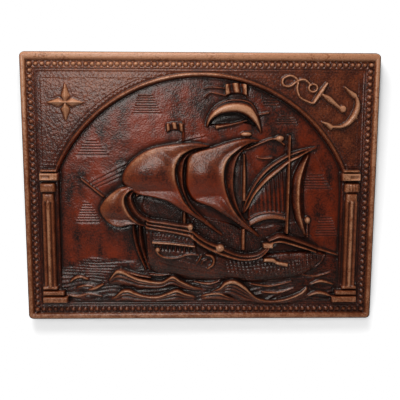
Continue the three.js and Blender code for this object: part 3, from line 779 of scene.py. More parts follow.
# %% Spars
FORE_MAST, MAIN_MAST, MIZZEN_MAST = 104.5, 52, -19.5
SPARS = [
    ([[FORE_MAST + 0.3, 64.5], [FORE_MAST, 10], [FORE_MAST - 0.7, -53]], [2.4, 4, 4.2], 18),
    ([[MAIN_MAST - 0.6, 42], [MAIN_MAST, 20], [MAIN_MAST + 0.3, -14]], [2, 4.6, 5], 14.5),
    ([[MAIN_MAST, -48], [MAIN_MAST, -74]], [5.5, 5.5], 14.5),
    ([[MIZZEN_MAST, -26], [MIZZEN_MAST, -42]], [5, 5.5], 14.5),
    ([[-143, 12.5], [-116, -9.5]], [1.8, 3], 12),
    ([[-77, -8], [-63, 2.5]], [3.4, 2.4], 15),
    ([[18, 73.5], [34, 76.5], [55, 82]], [4, 2.6, 2], 12),
    ([[65, 88], [81, 91]], [3, 1.6], 11.8),
    ([[44, 46], [55, 48.5], [66, 53], [84, 60], [92, 58.5], [100, 53]], [2.6], 12.5),
    ([[67, 38.3], [75, 36.8], [86, 37.6]], [2.4], 11),
    ([[54.5, 128], [54.5, 109]], [1.5], 11),
    ([[-21, 82], [-21, 57]], [1.5], 11),
    ([[130, -43], [130, -59]], [2, 1.4], 11.5),
    ([[137, -71], [152, -75.5], [168, -80.5]], [4, 2.8, 1.6], 14.5),
    ([[4, 108.5], [10.7, 114], [20, 112.8], [30, 110.5]], [1, 1.6, 2, 2.2], 11),
    ([[3.5, 118.8], [12, 120.5], [30, 119]], [1, 1.5, 2], 11),
    ([[107.5, 60], [107.5, 0], [107, -50]], [1.1], 11),
]
for path, widths, crest in SPARS:
    roll(path, widths, crest, SKY - 0.3, 0.62)


# %% Flags and ornaments
def flag(left, right, low, high, face):
    """A flag that hangs from a mast in folds."""
    share = np.linspace(0, 1, samples(right - left))[:, None]
    up = np.linspace(0, 1, samples(high - low + 3))
    wave = 1.5 * np.sin(np.pi * share)
    x = left + (right - left) * share + 0 * up
    z = low + 2 * wave + (high - low - wave) * up
    fold = 1.4 * np.sin(4.4 * np.pi * share + 1.2 * up + 0.4)
    press(x, z, face - 1.4 + fold - 0.8 * (1 - up), 0.5 + 0.35 * fold)


def ornament(x, z, crest, across, up):
    """A small rounded ornament, rubbed pale."""
    off = np.hypot((X - x) / (across / 2), (Z - z) / (up / 2))
    top = SKY + (crest - SKY) * np.sqrt(np.clip(1 - off**2, 0, 1))
    raise_to(np.where(off < 1, top, -1.0), 0.85)


flag(29, 53.5, 111, 123.5, 15.5)
flag(-40, -22, 68.5, 77.5, 14)
ornament(53.8, 65.5, 13, 14, 6)
ornament(94, 60.6, 15.5, 11, 7.5)
ornament(129.5, -37.8, 16, 8, 9)
ornament(19.5, 74, 13, 5, 4.5)

print(len(SPARS), "spars")

# %% [markdown]
# ## The sails
#
# A sail is a bellied sheet that ends in a hem. Past the hem its back curls into view as a narrow
# hollow, dark under the top of the curl and catching light again at its far lip. So each large sail
# has two sheets, the face and the curl, and they share the hem as an edge.

# %% Faces and curls
def face_of(edge, full, hem):
    """Section of a sail's face, from its far edge to its hem."""
    return [
        [0, edge, 0.1],
        [0.04, edge + 0.5 * (full - edge), 0.35],
        [0.1, edge + 0.7 * (full - edge), 0.45],
        [0.3, full - 0.6, 0.35],
        [0.55, full, 0.3],
        [0.8, full - 0.5, 0.32],
        [0.93, hem, 0.6],
        [0.975, hem - 0.4, 0.7],
        [1, hem - 2.5, 0.2],
    ]


def curl_of(low, high):
    """Section of the curl behind a hem."""
    return [
        [0, low, 0.0],
        [0.15, low + 0.2, 0.02],
        [0.5, low + 0.6 * (high - low), 0.2],
        [0.8, high, 0.38],
        [0.92, high - 0.1, 0.45],
        [1, high - 2.5, 0.1],
    ]


def opens(t):
    """The curl is deepest under the top of the sail, and comes forward below."""
    return tapering(t) * np.clip(0.25 + 2.4 * t, 0, 1)


SAILS = {
    "main": (
        [[11, 51.5], [-8, 55.2], [-35, 53.5], [-63, 46.8], [-85, 31], [-94, 11], [-80, -4],
         [-58, -9], [-41, -13.5], [-22, -25], [-3, -36.5], [27, -57.5]],
        [[9, 50.8], [-8, 48.4], [-21.5, 41.5], [-27.5, 33], [-30, 22.7], [-29, 11], [-26.7, 2.7],
         [-23.3, -5.7], [-18.3, -15.7], [-8.3, -27.3], [5, -37.8], [28, -57]],
        [[9.5, 51], [-1.7, 47.9], [-11.7, 42.9], [-18.3, 36], [-20.8, 26], [-21.3, 14], [-20, 2],
         [-16.5, -8.5], [-11.5, -18], [-3.5, -27.7], [8, -38.5], [29, -57]],
        face_of(13, 22, 21.5),
        curl_of(15.5, 19),
    ),
    "fore": (
        [[70, 57.5], [58, 60.3], [45, 59.4], [30, 55.5], [14, 50], [-4, 45.5], [-15, 39],
         [-17.5, 20], [-17, 2], [-8, -13], [12, -21], [32, -33], [52, -47], [71, -59]],
        [[68, 57], [58.9, 55.5], [49.6, 51], [42.2, 45.7], [34.8, 39.3], [30.5, 32], [28.3, 24],
         [27.8, 14], [29, 4], [32, -7], [38.5, -21.9], [47.8, -34.8], [58.9, -45.9], [72, -58]],
        [[70, 57.5], [60, 54.5], [54, 50.5], [49, 45.5], [44.5, 40], [41.8, 33], [40, 25], [39, 15],
         [39, 5], [41, -8.5], [46, -24], [53.5, -37], [62.6, -47.8], [72.5, -58]],
        face_of(12.5, 20.3, 20.5),
        curl_of(14.5, 18),
    ),
    "spanker": (
        [[-71.7, 4], [-85, 4.7], [-96, 2], [-107, -5], [-116, -14], [-121, -24], [-117, -34],
         [-108, -42], [-97, -45], [-84, -42], [-73, -43], [-60, -48]],
        [[-73, 2.8], [-79, 0.8], [-85, -2.2], [-89.5, -7.5], [-90.5, -14], [-89, -20], [-86.5, -26],
         [-83, -31.5], [-79, -36], [-74, -40], [-68, -43.5], [-59, -46.5]],
        [[-72, 2.4], [-76, -0.5], [-80, -3.5], [-82.3, -8], [-81.5, -14], [-79, -20.5],
         [-75.5, -26], [-71.5, -30.5], [-68, -33], [-64.5, -34.8], [-61.5, -36], [-57, -37.5]],
        face_of(13, 21.5, 22.3),
        curl_of(16.5, 19),
    ),
}

# %% [markdown]
# The face alone would be too regular. Wind fills its middle and presses its foot in, so soft mounds
# and dips are added to it, only where that sail shows. The upper part of each sail is also painted
# paler, a painted highlight where the light falls on it.

# %% Wind in the sails
def swell(region, x, z, wide, high, rise, lean=0.0):
    """A soft mound or dip inside a region; lean tilts it, in degrees."""
    turn = math.radians(lean)
    along = (X - x) * math.cos(turn) + (Z - z) * math.sin(turn)
    up = (Z - z) * math.cos(turn) - (X - x) * math.sin(turn)
    height[region] += (rise * np.exp(-((along / wide) ** 2) - (up / high) ** 2))[region]


MOUNDS = {
    "main": [
        (-62, 21, 26, 13, 2.4, 0),
        (-45, 43, 12, 6, -1.6, -30),
        (-66, -1, 34, 6, -2.6, 0),
        (-42, 30, 7, 20, 1.0, 25),
        (-50, -11, 26, 4, 1.2, -14),
    ],
    "fore": [
        (4, 19, 20, 11, 2.4, 0),
        (8, 41, 30, 6, -1.2, 15),
        (8, -7, 26, 8, -2.6, 0),
        (30, -27, 14, 6, 1.2, -40),
    ],
    "spanker": [
        (-104, -16, 12, 12, 1.4, 35),
        (-98, -35, 22, 5, -2.2, -8),
        (-103, -43, 16, 3, 1.0, -8),
    ],
}
for name in ("fore", "main", "spanker"):
    far, hem, lip, face, curl = SAILS[name]
    before = height.copy()
    sheet(hem, lip, curl, opens)
    sheet(far, hem, face, tapering)
    cloth = (height > before + 0.01) & inside(spline(far, 80).tolist() + spline(hem, 80)[::-1].tolist())
    for mound in MOUNDS[name]:
        swell(cloth, *mound)
    # Painted highlight: the upper parts of the main and fore sails and the top of the spanker are painted
    # paler, where light falls on them.
    painted_sail_highlight = glow(-55, 38, 42, 15, 0.28) + glow(10, 34, 38, 14, 0.25) + glow(-100, -8, 22, 14, 0.3)
    wear_and_painted_light[cloth] += painted_sail_highlight[cloth]
    flame[cloth] = np.clip(0.15 + glow(-50, -2, 45, 14, 0.5) + glow(10, -4, 40, 18, 0.6), 0, 1)[cloth]

print(len(MOUNDS), "large sails")

# %% [markdown]
# The smaller sails are narrow crescents seen almost edge on, and the jib hangs in folds behind the
# fore mast over a curved foot.

# %% Small sails
CRESCENTS = [
    (
        [[139.4, 50.2], [127.4, 48.7], [116.3, 46], [103.3, 41.2], [90.4, 34], [79.3, 25.6],
         [70, 15.4], [62.6, 4], [57, -7], [53, -17], [50.6, -30]],
        [[139, 49.4], [127.4, 44.8], [116.3, 38.3], [105, 31.9], [92.2, 20.7], [81, 11.5],
         [71.9, 2.2], [64.4, -7], [60.5, -14], [57, -22], [52, -30]],
        [[0, 14, 0.3], [0.08, 17.5, 0.75], [0.18, 17, 0.4], [0.3, 15, 0.02], [0.5, 14.8, 0.05],
         [0.62, 17.5, 0.45], [0.8, 19, 0.65], [0.93, 18.5, 0.75], [1, 15, 0.2]],
    ),
    (
        [[128, 44], [118, 30], [112, 14], [110.5, -5], [112, -22], [117, -40], [126, -57]],
        [[131, 43], [127, 27], [124, 9], [123.7, -14], [125.5, -33], [128, -45], [130, -57]],
        [[0, 12.5, 0.2], [0.3, 14.5, 0.5], [0.5, 16.5, 0.75], [0.6, 16, 0.3], [0.8, 13, 0.02],
         [1, 11.5, 0.1]],
    ),
    (
        [[6.5, 74], [8, 83.7], [14.4, 95.3], [23.7, 102.4], [35, 106.2], [48, 106.2], [59, 102.5],
         [66, 92], [70, 80], [72, 67]],
        [[7.5, 74], [11.7, 82], [18, 86.5], [27.4, 90.2], [40.4, 91.5], [49.6, 89.3], [57, 85],
         [63, 79], [67.5, 73], [71.5, 67]],
        [[0, 12, 0.2], [0.07, 14.5, 0.55], [0.16, 12.8, 0.1], [0.3, 15.5, 0.45], [0.55, 18.5, 0.95],
         [0.85, 18, 0.75], [1, 13, 0.15]],
    ),
]
JIB_CLOTH = (
    [[104, 34], [92, 23], [80, 11], [70, 0], [58, -16]],
    [[102, -29], [92, -27.5], [80, -27.5], [70, -29.5], [58, -34]],
    [[0, 12, 0.05], [0.5, 13, 0.2], [1, 11.8, 0.3]],
)
JIB_FOOT = (
    [[57, -36], [66, -30.5], [77, -27.5], [88.5, -27], [102, -30]],
    [[60, -45], [72, -39.4], [83, -36.7], [92, -36.8], [102, -38.5]],
    [[0, 12.5, 0.3], [0.1, 14.5, 0.5], [0.22, 13.3, 0.1], [0.5, 15, 0.5], [0.85, 15, 0.45], [1, 11, 0.05]],
)
hollow = inside(
    spline([[9, 76], [18, 86], [30, 90], [47, 90.5], [60, 84], [68, 74]], 60).tolist()
    + spline([[68, 74], [52, 79], [30, 78.5], [9, 76]], 40).tolist()
)
# Stain caught in the hollow under the top sail, and painted shade under the sail: it is sunk and left without
# dye or rubbing, so it takes the darkest colour.
height[hollow & opening] -= 3
wear_and_painted_light[hollow] = 0
flame[hollow] = 0
spar = ([[18, 73.5], [34, 76.5], [55, 82]], [4, 2.6, 2], 12, SKY - 3, 0.6)
roll(*spar)
sheet(*JIB_CLOTH)
jib = inside(JIB_CLOTH[0] + JIB_CLOTH[1][::-1])
lines = np.sin(2 * np.pi * (X - 78 + 0.08 * (Z + 28)) / 5.2)
height[jib] += (0.55 * lines * np.clip((X - 72) / 12, 0, 1))[jib]
flame[jib] = np.clip(0.25 + 0.5 * lines * np.clip((10 - Z) / 20, 0, 1), 0, 1)[jib]
sheet(*JIB_FOOT)
for crescent in CRESCENTS:
    sheet(*crescent, tapering)
roll([[FORE_MAST + 0.3, 64.5], [FORE_MAST, 10], [FORE_MAST - 0.7, -53]], [2.4, 4, 4.2], 19.5, 12, 0.62)
score([[72, -48], [80, -45], [90, -44]], 1.2, -0.7)

print(len(CRESCENTS), "crescent sails and a jib")

# %% [markdown]
# ## The hull
#
# The hull is a stack of strakes, each one a sheet between two sheer lines: the deep round body, the
# stern gallery with its windows, the rails, the sheer moulding that sweeps down to the waist and up
# again, and the forecastle.

# %% Strakes
def ribs(count, groove, crest):
    """Section of a band of rounded ribs side by side."""
    section = []
    for number in range(count):
        section.append([number / count, groove, 0.0])
        section.append([(number + 0.25) / count, crest, 0.55])
        section.append([(number + 0.65) / count, crest - 0.4, 0.5])
    return section + [[1, groove, 0.0]]


def full_body(t):
    """The hull's fullness from stern to bow."""
    return np.minimum(1, 4 * (1 - t) + 0.25)


HULL = [
    (
        [[-66, -44], [-36, -50], [-10, -60], [14, -75], [45, -84], [75, -80], [137, -76], [153, -80]],
        [[-62, -97], [-46, -106], [-12, -111], [36, -113], [76, -114], [126, -105], [153, -82]],
        [[0, 14, 0.2], [0.12, 16.5, 0.25], [0.3, 17.3, 0.2], [0.55, 18, 0.25], [0.78, 16.5, 0.2],
         [1, 12, 0.0]],
        full_body,
    ),
    (
        [[-58, -51], [-35, -52], [-9, -58]],
        [[-58, -76], [-35, -78], [-4, -79]],
        [
            [0, 18, 0.1],
            [0.42, 18.2, 0.25],
            [0.46, 20, 0.75],
            [0.54, 20, 0.7],
            [0.58, 18.5, 0.1],
            [0.9, 18.2, 0.2],
            [1, 18, 0.3],
        ],
        None,
    ),
    (
        [[-64, -34], [-60, -36], [-45, -37.8], [-30, -40.3], [-12, -42.6]],
        [[-66, -47], [-60, -48.5], [-48, -50.8], [-33, -53.2], [-8, -59]],
        ribs(3, 18, 21.2),
        None,
    ),
    (
        [[-13, -42], [-8, -50], [2, -58], [13, -64], [24, -68.5], [34, -73.5], [45, -78],
         [57, -79.5], [69, -77.5], [77, -72], [82, -66]],
        [[-13, -58], [-7, -62], [0, -67.5], [10, -73], [20, -77.5], [32, -82], [45, -85.3],
         [57, -86], [70, -83.5], [79, -76.5], [84, -69]],
        [[0, 17, 0.0], [0.16, 21, 0.6], [0.32, 20, 0.35], [0.5, 18.6, 0.05], [0.68, 20.6, 0.5],
         [0.84, 21.6, 0.65], [0.93, 20.5, 0.4], [1, 17.5, 0.0]],
        None,
    ),
    (
        [[81, -60.5], [88, -57], [95, -54], [104, -55.3], [118.6, -60], [131, -65], [141, -69]],
        [[84, -66], [90, -65], [97, -64.5], [106, -66.5], [119, -70.5], [131, -74], [140, -77]],
        [
            [0, 14, 0.1],
            [0.25, 18.8, 0.5],
            [0.45, 17.5, 0.3],
            [0.55, 16, 0.0],
            [0.68, 16, 0.05],
            [0.78, 19, 0.65],
            [0.9, 19, 0.6],
            [1, 16.5, 0.1],
        ],
        None,
    ),
    (
        [[77, -83], [88, -83.3], [93, -86.5], [106, -89]],
        [[76, -88], [87, -88.5], [93, -91.5], [105, -94]],
        [[0, 18, 0.3], [0.25, 20.5, 0.9], [0.75, 20.5, 0.85], [1, 18, 0.1]],
        None,
    ),
]
for back, front, section, lift in HULL:
    sheet(back, front, section, lift)

# %% Planking and carved rows
body_top, body_foot = HULL[0][0], HULL[0][1]
for share in (0.3, 0.42, 0.54, 0.7, 0.84):
    score(between(body_top, body_foot, share, 0.12, 0.97), 1.0, 0.55)
    score(between(body_top, body_foot, share + 0.04, 0.12, 0.97), 1.0, -0.3)
bow = inside([[26, -86], [70, -87], [112, -84], [140, -79], [150, -82], [136, -95], [112, -106],
              [60, -110], [30, -104]])
bow &= height > 14
hatch(bow, 78, 4.6, 0.6, 0.16)
hatch(bow, 8, 2.7, 0.5, 0.25)
fore_side = inside([[108, -70], [138, -78], [150, -82], [138, -94], [122, -99], [110, -92]]) & (height > 13)
hatch(fore_side, 88, 2.5, 0.8, 0.3)
side_net = inside([[84, -67], [138, -78], [146, -82], [108, -88],
                   [84, -82]]) & (height > 13) & (height < 18.3)
hatch(side_net, -8, 2.4, 0.6, 0.3)

gallery_top, gallery_foot = HULL[1][0], HULL[1][1]
scrolls = between(gallery_top, gallery_foot, 0.2, 0.02, 0.98, 200)
swing = [[x, z + 1.8 * math.sin(0.42 * i)] for i, (x, z) in enumerate(scrolls)]
score(swing, 1.1, -0.9)
for share, rise in [(0.05, -0.6), (0.36, -0.6), (0.62, 0.6), (0.86, 0.5)]:
    score(between(gallery_top, gallery_foot, share, 0.0, 1.0), 1.0, rise)
WINDOWS = 10
for number in range(WINDOWS):
    share = (number + 0.5) / WINDOWS
    x, z = between(gallery_top, gallery_foot, 0.72, 0.1 + 0.8 * share, 1.0, 2)[0]
    pane = (np.abs(X - x) < 1.5) & (np.abs(Z - z) < 2.9)
    height[pane] = 16.3
    wear_and_painted_light[pane] = 0
    score([[x - 2.2, z - 2.8], [x - 2.2, z + 2.8]], 1.0, -0.5)

print(WINDOWS, "stern windows")

# %% [markdown]
# Scrolls, the cat head, the knob where the sheer moulding turns, and the shrouds that fan out below
# the chain wale. The sternpost and the rudder hang from the counter, with a dark gap between them.

# %% Carving
CARVING = [
    ([[-81, -43], [-79.5, -58], [-75, -76], [-66, -98]], [3.6, 4.5, 4, 3], 15, SKY, 0.35),
    ([[-73, -43], [-72.5, -58], [-69, -76], [-61, -98]], [3.6, 5, 4.4, 3.4], 16.5, SKY, 0.3),
    ([[-53, -71], [-51, -77], [-43, -81.7], [-29, -82.4], [-15, -78.3], [-2, -79]],
      [2, 2.4, 2.2, 1.8, 1.6, 1.2], 20.5, 17, 0.7),
    ([[6, -78.5], [13, -80.5], [16, -85], [14.8, -91], [8, -96]], [2, 3.4, 3.6, 3, 1.6], 20.5, 17, 0.65),
    ([[-5, -90], [-1.5, -85], [1, -80]], [1.6, 2.4, 2], 19.8, 17, 0.6),
    ([[1, -91], [3, -86], [8, -84.5]], [1.6, 2.2, 1.4], 19.6, 17, 0.55),
    ([[152, -80], [148, -88], [140, -95], [125, -99]], [1.6, 2, 2, 1.4], 14, SKY, 0.4),
    ([[144, -83], [141, -90], [133, -95]], [1.2, 1.5, 1.2], 14, 11, 0.35),
]
for path, widths, crest, foot, rub in CARVING:
    roll(path, widths, crest, foot, rub)
block(75, 87.5, -70.5, -64.8, 20.8, 1.6, 0.85)
domes([-51.7], [-72.5], 3, 2.2, 0.8)
domes([-12.5], [-44.8], 3.4, 2.5, 0.9)
off_bulb = np.hypot((X - 23.5) / 5.2, (Z + 70.5) / 4.2)
raise_to(np.where(off_bulb < 1, 20 + 3.8 * np.sqrt(np.clip(1 - off_bulb**2, 0, 1)), -1.0), 0.8)
for number in range(6):
    top_x = 79 + 4.6 * number
    score([[top_x, -90 - 0.9 * number], [top_x - 2 - 0.6 * number, -104]], 1.0, -0.7)
    tint([[top_x, -90 - 0.9 * number], [top_x - 2 - 0.6 * number, -104]], 1.2, 0.25)
dotted = np.linspace(-42, -58, 7)
domes(np.full(7, 130.0), dotted, 0.9, 0.8, 0.6)

print(len(CARVING), "carved scrolls")

# %% [markdown]
# ## Soft edges and antique stain
#
# Leather rounds every edge that is pressed into it, so the whole map is blurred by half a millimetre,
# and then its larger forms are sharpened a little. The stain follows from the shape alone: it stays
# wherever a point lies lower than its surroundings.

# %% Finish the maps
DEEPEST, HIGHEST = 5, 1000 * (HIGH.y - LOW.y)
height = soften(height, 0.45)
height += 0.35 * (height - soften(height, 2.5))
height = np.clip(height, DEEPEST, HIGHEST)
wear_and_painted_light = np.clip(soften(np.clip(wear_and_painted_light, 0, 1), 0.5), 0, 1)
flame = np.clip(soften(flame, 0.8), 0, 1)
recess = np.clip((soften(height, 1.6) - height) / 0.8, 0, 1)
recess = np.maximum(recess, np.clip((soften(height, 6) - height - 0.6) / 3, 0, 0.8))
proud = np.clip((height - soften(height, 5)) / 2, 0, 1)
wear_and_painted_light = np.clip(wear_and_painted_light * (0.9 + 0.45 * proud), 0, 1)
recess *= (1 - 0.6 * wear_and_painted_light) * np.where(opening, 1, 0.75)

print("heights", round(height.min(), 1), "to", round(height.max(), 1), "mm")

# %% [markdown]
# ## From map to mesh
#
# Every grid point becomes a vertex. The outermost rows are drawn in round the corners, and from the
# edge a skirt runs back to a flat back with a small bevel, so that the mesh is one closed body.

# %% The mesh
BEVEL = 0.8


def round_corners(x, z):
    """Points of a rectangle moved so that its corners are round."""
    a = (np.abs(x) - (HALF_WIDTH - CORNER)) / CORNER
    b = (np.abs(z) - (HALF_HEIGHT - CORNER)) / CORNER
    corner = (a > 0) & (b > 0)
    scale = np.where(corner, np.maximum(a, b) / np.maximum(np.hypot(a, b), 1e-9), 1)
    x = np.where(corner, np.sign(x) * (HALF_WIDTH - CORNER + a * scale * CORNER), x)
    z = np.where(corner, np.sign(z) * (HALF_HEIGHT - CORNER + b * scale * CORNER), z)
    return x, z


def face_and_skirt(front_heights):
    """Points and faces of the closed plaque, in millimetres."""
    x, z = round_corners(X, Z)
    front = np.stack([x, -front_heights, z], axis=-1).reshape(-1, 3)
    number = np.arange(ROWS * COLUMNS).reshape(ROWS, COLUMNS)
    quads = np.stack([number[:-1, :-1], number[:-1, 1:], number[1:, 1:], number[1:, :-1]], axis=-1)
    quads = quads.reshape(-1, 4)
    loop = np.concatenate([number[0, :-1], number[:-1, -1], number[-1, :0:-1], number[:0:-1, 0]])
    points, rings = [front], [loop]
    for inward, level in [(0, 0.5 * SIDE), (0, BEVEL), (BEVEL, 0)]:
        ring_points = front[loop] * [1 - inward / HALF_WIDTH, 0, 1 - inward / HALF_HEIGHT]
        points.append(ring_points - [0, level, 0])
        rings.append(len(front) + (len(points) - 2) * len(loop) + np.arange(len(loop)))
    for above, under in zip(rings, rings[1:]):
        band = np.stack([above, under, np.roll(under, -1), np.roll(above, -1)], axis=1)
        quads = np.concatenate([quads, band])
    return np.concatenate(points), quads, rings[-1][::-1]


def build_mesh(name, points, quads, back):
    """A Blender mesh in metres, from quads and one face with many corners."""
    made = bpy.data.meshes.new(name)
    corners = np.concatenate([quads.ravel(), back]).astype(np.int32)
    starts = (4 * np.arange(len(quads) + 1)).astype(np.int32)
    made.vertices.add(len(points))
    made.vertices.foreach_set("co", (points / 1000).astype(np.float32).ravel())
    made.loops.add(len(corners))
    made.loops.foreach_set("vertex_index", corners)
    made.polygons.add(len(starts))
    made.polygons.foreach_set("loop_start", starts)
    made.update(calc_edges=True)
    made.validate()
    return made


# %% [markdown]
# A million faces are more than the plaque needs, and the Decimate modifier merges them where the
# surface is flat. But flat ground also carries dye and stain, which need vertices of their own. So
# the mesh that is thinned has the maps added to its heights, and after that each vertex is put back
# on the true surface.

# %% Thin the mesh
TRIANGLES = 196_000
edge = np.minimum(HALF_WIDTH - np.abs(X), HALF_HEIGHT - np.abs(Z))
height[edge < 0.5 * PITCH] = SIDE
guide = height + 0.5 * recess + 0.5 * flame + 0.5 * wear_and_painted_light + 0.05 * clouds(1.2, 31)
guide[edge < 0.5 * PITCH] = SIDE
plaque = bpy.data.objects.new("moulded_leather", build_mesh("guide", *face_and_skirt(guide)))
bpy.context.collection.objects.link(plaque)
thinning = plaque.modifiers.new("thin", "DECIMATE")
thinning.ratio = TRIANGLES / (2 * len(plaque.data.polygons))
thinned = plaque.evaluated_get(bpy.context.evaluated_depsgraph_get())
plaque.data = bpy.data.meshes.new_from_object(thinned)
plaque.data.name = "moulded_leather"
plaque.modifiers.clear()

# %% [markdown]
# The maps go onto the mesh as vertex attributes, which a material can read and which stay with the
# mesh wherever it goes. Each vertex takes the value of the map where it stands.

# %% Put the maps on the mesh
def value_at(field, points):
    """Value of a map at each point, blended between grid points."""
    column = np.clip((points[:, 0] + HALF_WIDTH) / PITCH, 0, COLUMNS - 1.001)
    row = np.clip((points[:, 2] + HALF_HEIGHT) / PITCH, 0, ROWS - 1.001)
    i, j = row.astype(int), column.astype(int)
    f, g = row - i, column - j
    low = field[i, j] * (1 - g) + field[i, j + 1] * g
    high = field[i + 1, j] * (1 - g) + field[i + 1, j + 1] * g
    return low * (1 - f) + high * f


def square_corners(points):
    """Undo round_corners, to find where on the grid a point came from."""
    a = (np.abs(points[:, 0]) - (HALF_WIDTH - CORNER)) / CORNER
    b = (np.abs(points[:, 2]) - (HALF_HEIGHT - CORNER)) / CORNER
    corner = (a > 0) & (b > 0)
    scale = np.where(corner, np.hypot(a, b) / np.maximum(np.maximum(a, b), 1e-9), 1)
    flat = points.copy()
    for axis, share, half in [(0, a, HALF_WIDTH), (2, b, HALF_HEIGHT)]:
        moved = np.sign(points[:, axis]) * (half - CORNER + share * scale * CORNER)
        flat[:, axis] = np.where(corner, moved, points[:, axis])
    return flat


points = np.empty(3 * len(plaque.data.vertices), np.float32)
plaque.data.vertices.foreach_get("co", points)
points = 1000 * points.reshape(-1, 3).astype(float)
on_grid = square_corners(points)
rim_distance = np.minimum(HALF_WIDTH - np.abs(on_grid[:, 0]), HALF_HEIGHT - np.abs(on_grid[:, 2]))
on_face = (rim_distance > 0.6 * PITCH) & (points[:, 1] < -0.5 * DEEPEST)
points[:, 1] = np.where(on_face, -value_at(height, on_grid), points[:, 1])
plaque.data.vertices.foreach_set("co", (points / 1000).astype(np.float32).ravel())
turned = np.where(on_face, 0, np.clip((9 + points[:, 1]) / 4, 0, 1))
for name, values in [
    ("wear_and_painted_light", value_at(wear_and_painted_light, on_grid)),
    ("dyed", value_at(flame, on_grid)),
    ("stained", value_at(recess, on_grid)),
    ("turned_under", turned),
]:
    layer = plaque.data.attributes.new(name, "FLOAT", "POINT")
    layer.data.foreach_set("value", values.astype(np.float32))
plaque.data.shade_smooth()

print(len(plaque.data.polygons), "faces and", len(points), "vertices")

# %% [markdown]
# ## The leather
#
# The material is vegetable-tanned saddle leather: pale tan where it is rubbed, because tan is the
# colour of the hide itself, a burnt orange where dye has soaked in, and nearly black where antique
# stain is caught. Its finish is a clear lacquer, which gives a soft grey shine on every slope that
# faces the light.

# %% Nodes and colours
def linear(code):
    """An sRGB hex colour as linear RGBA."""
    parts = [int(code[i : i + 2], 16) / 255 for i in (1, 3, 5)]
    return [p / 12.92 if p < 0.04045 else ((p + 0.055) / 1.055) ** 2.4 for p in parts] + [1]


def node(tree, kind, settings, inputs):
    """Add a node, set its properties, and set or link its inputs by name or number."""
    made = tree.nodes.new(kind)
    for key, value in settings.items():
        setattr(made, key, value)
    for key, value in inputs.items():
        if isinstance(value, bpy.types.NodeSocket):
            tree.links.new(value, made.inputs[key])
        else:
            made.inputs[key].default_value = value
    return made


leather = bpy.data.materials.new("antiqued_saddle_leather")
leather.use_nodes = True
tree = leather.node_tree
tree.nodes.clear()
place = node(tree, "ShaderNodeNewGeometry", {}, {}).outputs["Position"]
maps = {
    name: node(tree, "ShaderNodeAttribute", {"attribute_name": name}, {}).outputs["Fac"]
    for name in ("wear_and_painted_light", "dyed", "stained", "turned_under")
}

# %% [markdown]
# The rubbing is never clean. A cloth leaves streaks and the grain holds specks of stain, so the map
# is broken up by two noises, one about 12 mm and one about 2 mm across.

# %% Colour
smears = node(tree, "ShaderNodeTexNoise", {}, {"Vector": place, "Scale": 85.0, "Detail": 4.0})
specks = node(tree, "ShaderNodeTexNoise", {}, {"Vector": place, "Scale": 520.0, "Detail": 2.0})
broken = node(
    tree,
    "ShaderNodeMapRange",
    {},
    {"Value": smears.outputs["Fac"], "From Min": 0.3, "From Max": 0.7, "To Min": -0.12, "To Max": 0.12},
)
speckled = node(
    tree,
    "ShaderNodeMapRange",
    {},
    {"Value": specks.outputs["Fac"], "From Min": 0.35, "From Max": 0.65, "To Min": -0.12, "To Max": 0.12},
)
uneven = node(
    tree,
    "ShaderNodeMath",
    {"operation": "ADD"},
    {0: broken.outputs["Result"], 1: speckled.outputs["Result"]},
)
rub = node(
    tree, "ShaderNodeMath", {"operation": "ADD", "use_clamp": True}, {0: maps["wear_and_painted_light"], 1: uneven.outputs[0]}
)
# The ramp turns the map into colour, from stain to pale tan. Its ends also paint the highlights that the map
# carries along the top rim, the upper left and the upper sails, and the painted shade in the hollow under the
# top sail.
wear_and_light_ramp = node(tree, "ShaderNodeValToRGB", {}, {"Fac": rub.outputs[0]})
WEAR_AND_LIGHT_COLOURS = [(0.0, "#230f0a"), (0.3, "#4a2015"), (0.55, "#733a22"), (0.8, "#9a5c3b"), (1.0, "#d59c78")]
while len(wear_and_light_ramp.color_ramp.elements) < len(WEAR_AND_LIGHT_COLOURS):
    wear_and_light_ramp.color_ramp.elements.new(0.5)
for element, (at, code) in zip(wear_and_light_ramp.color_ramp.elements, WEAR_AND_LIGHT_COLOURS):
    element.position = at
    element.color = linear(code)

dye_amount = node(
    tree,
    "ShaderNodeMath",
    {"operation": "MULTIPLY_ADD", "use_clamp": True},
    {0: uneven.outputs[0], 1: 1.6, 2: maps["dyed"]},
)
dyed = node(
    tree,
    "ShaderNodeMix",
    {"data_type": "RGBA"},
    {0: dye_amount.outputs[0], 6: wear_and_light_ramp.outputs["Color"], 7: linear("#8c300e")},
)
stained = node(
    tree,
    "ShaderNodeMix",
    {"data_type": "RGBA"},
    {0: maps["stained"], 6: dyed.outputs[2], 7: linear("#1a0b07")},
)
backed = node(
    tree,
    "ShaderNodeMix",
    {"data_type": "RGBA"},
    {0: maps["turned_under"], 6: stained.outputs[2], 7: linear("#5c3a28")},
)

# %% [markdown]
# The grain of the hide is a net of pebbles a little under a millimetre across. That is finer than
# can be made out at this distance, so it is drawn about twice as coarse, with a gentler unevenness
# of the surface under it.

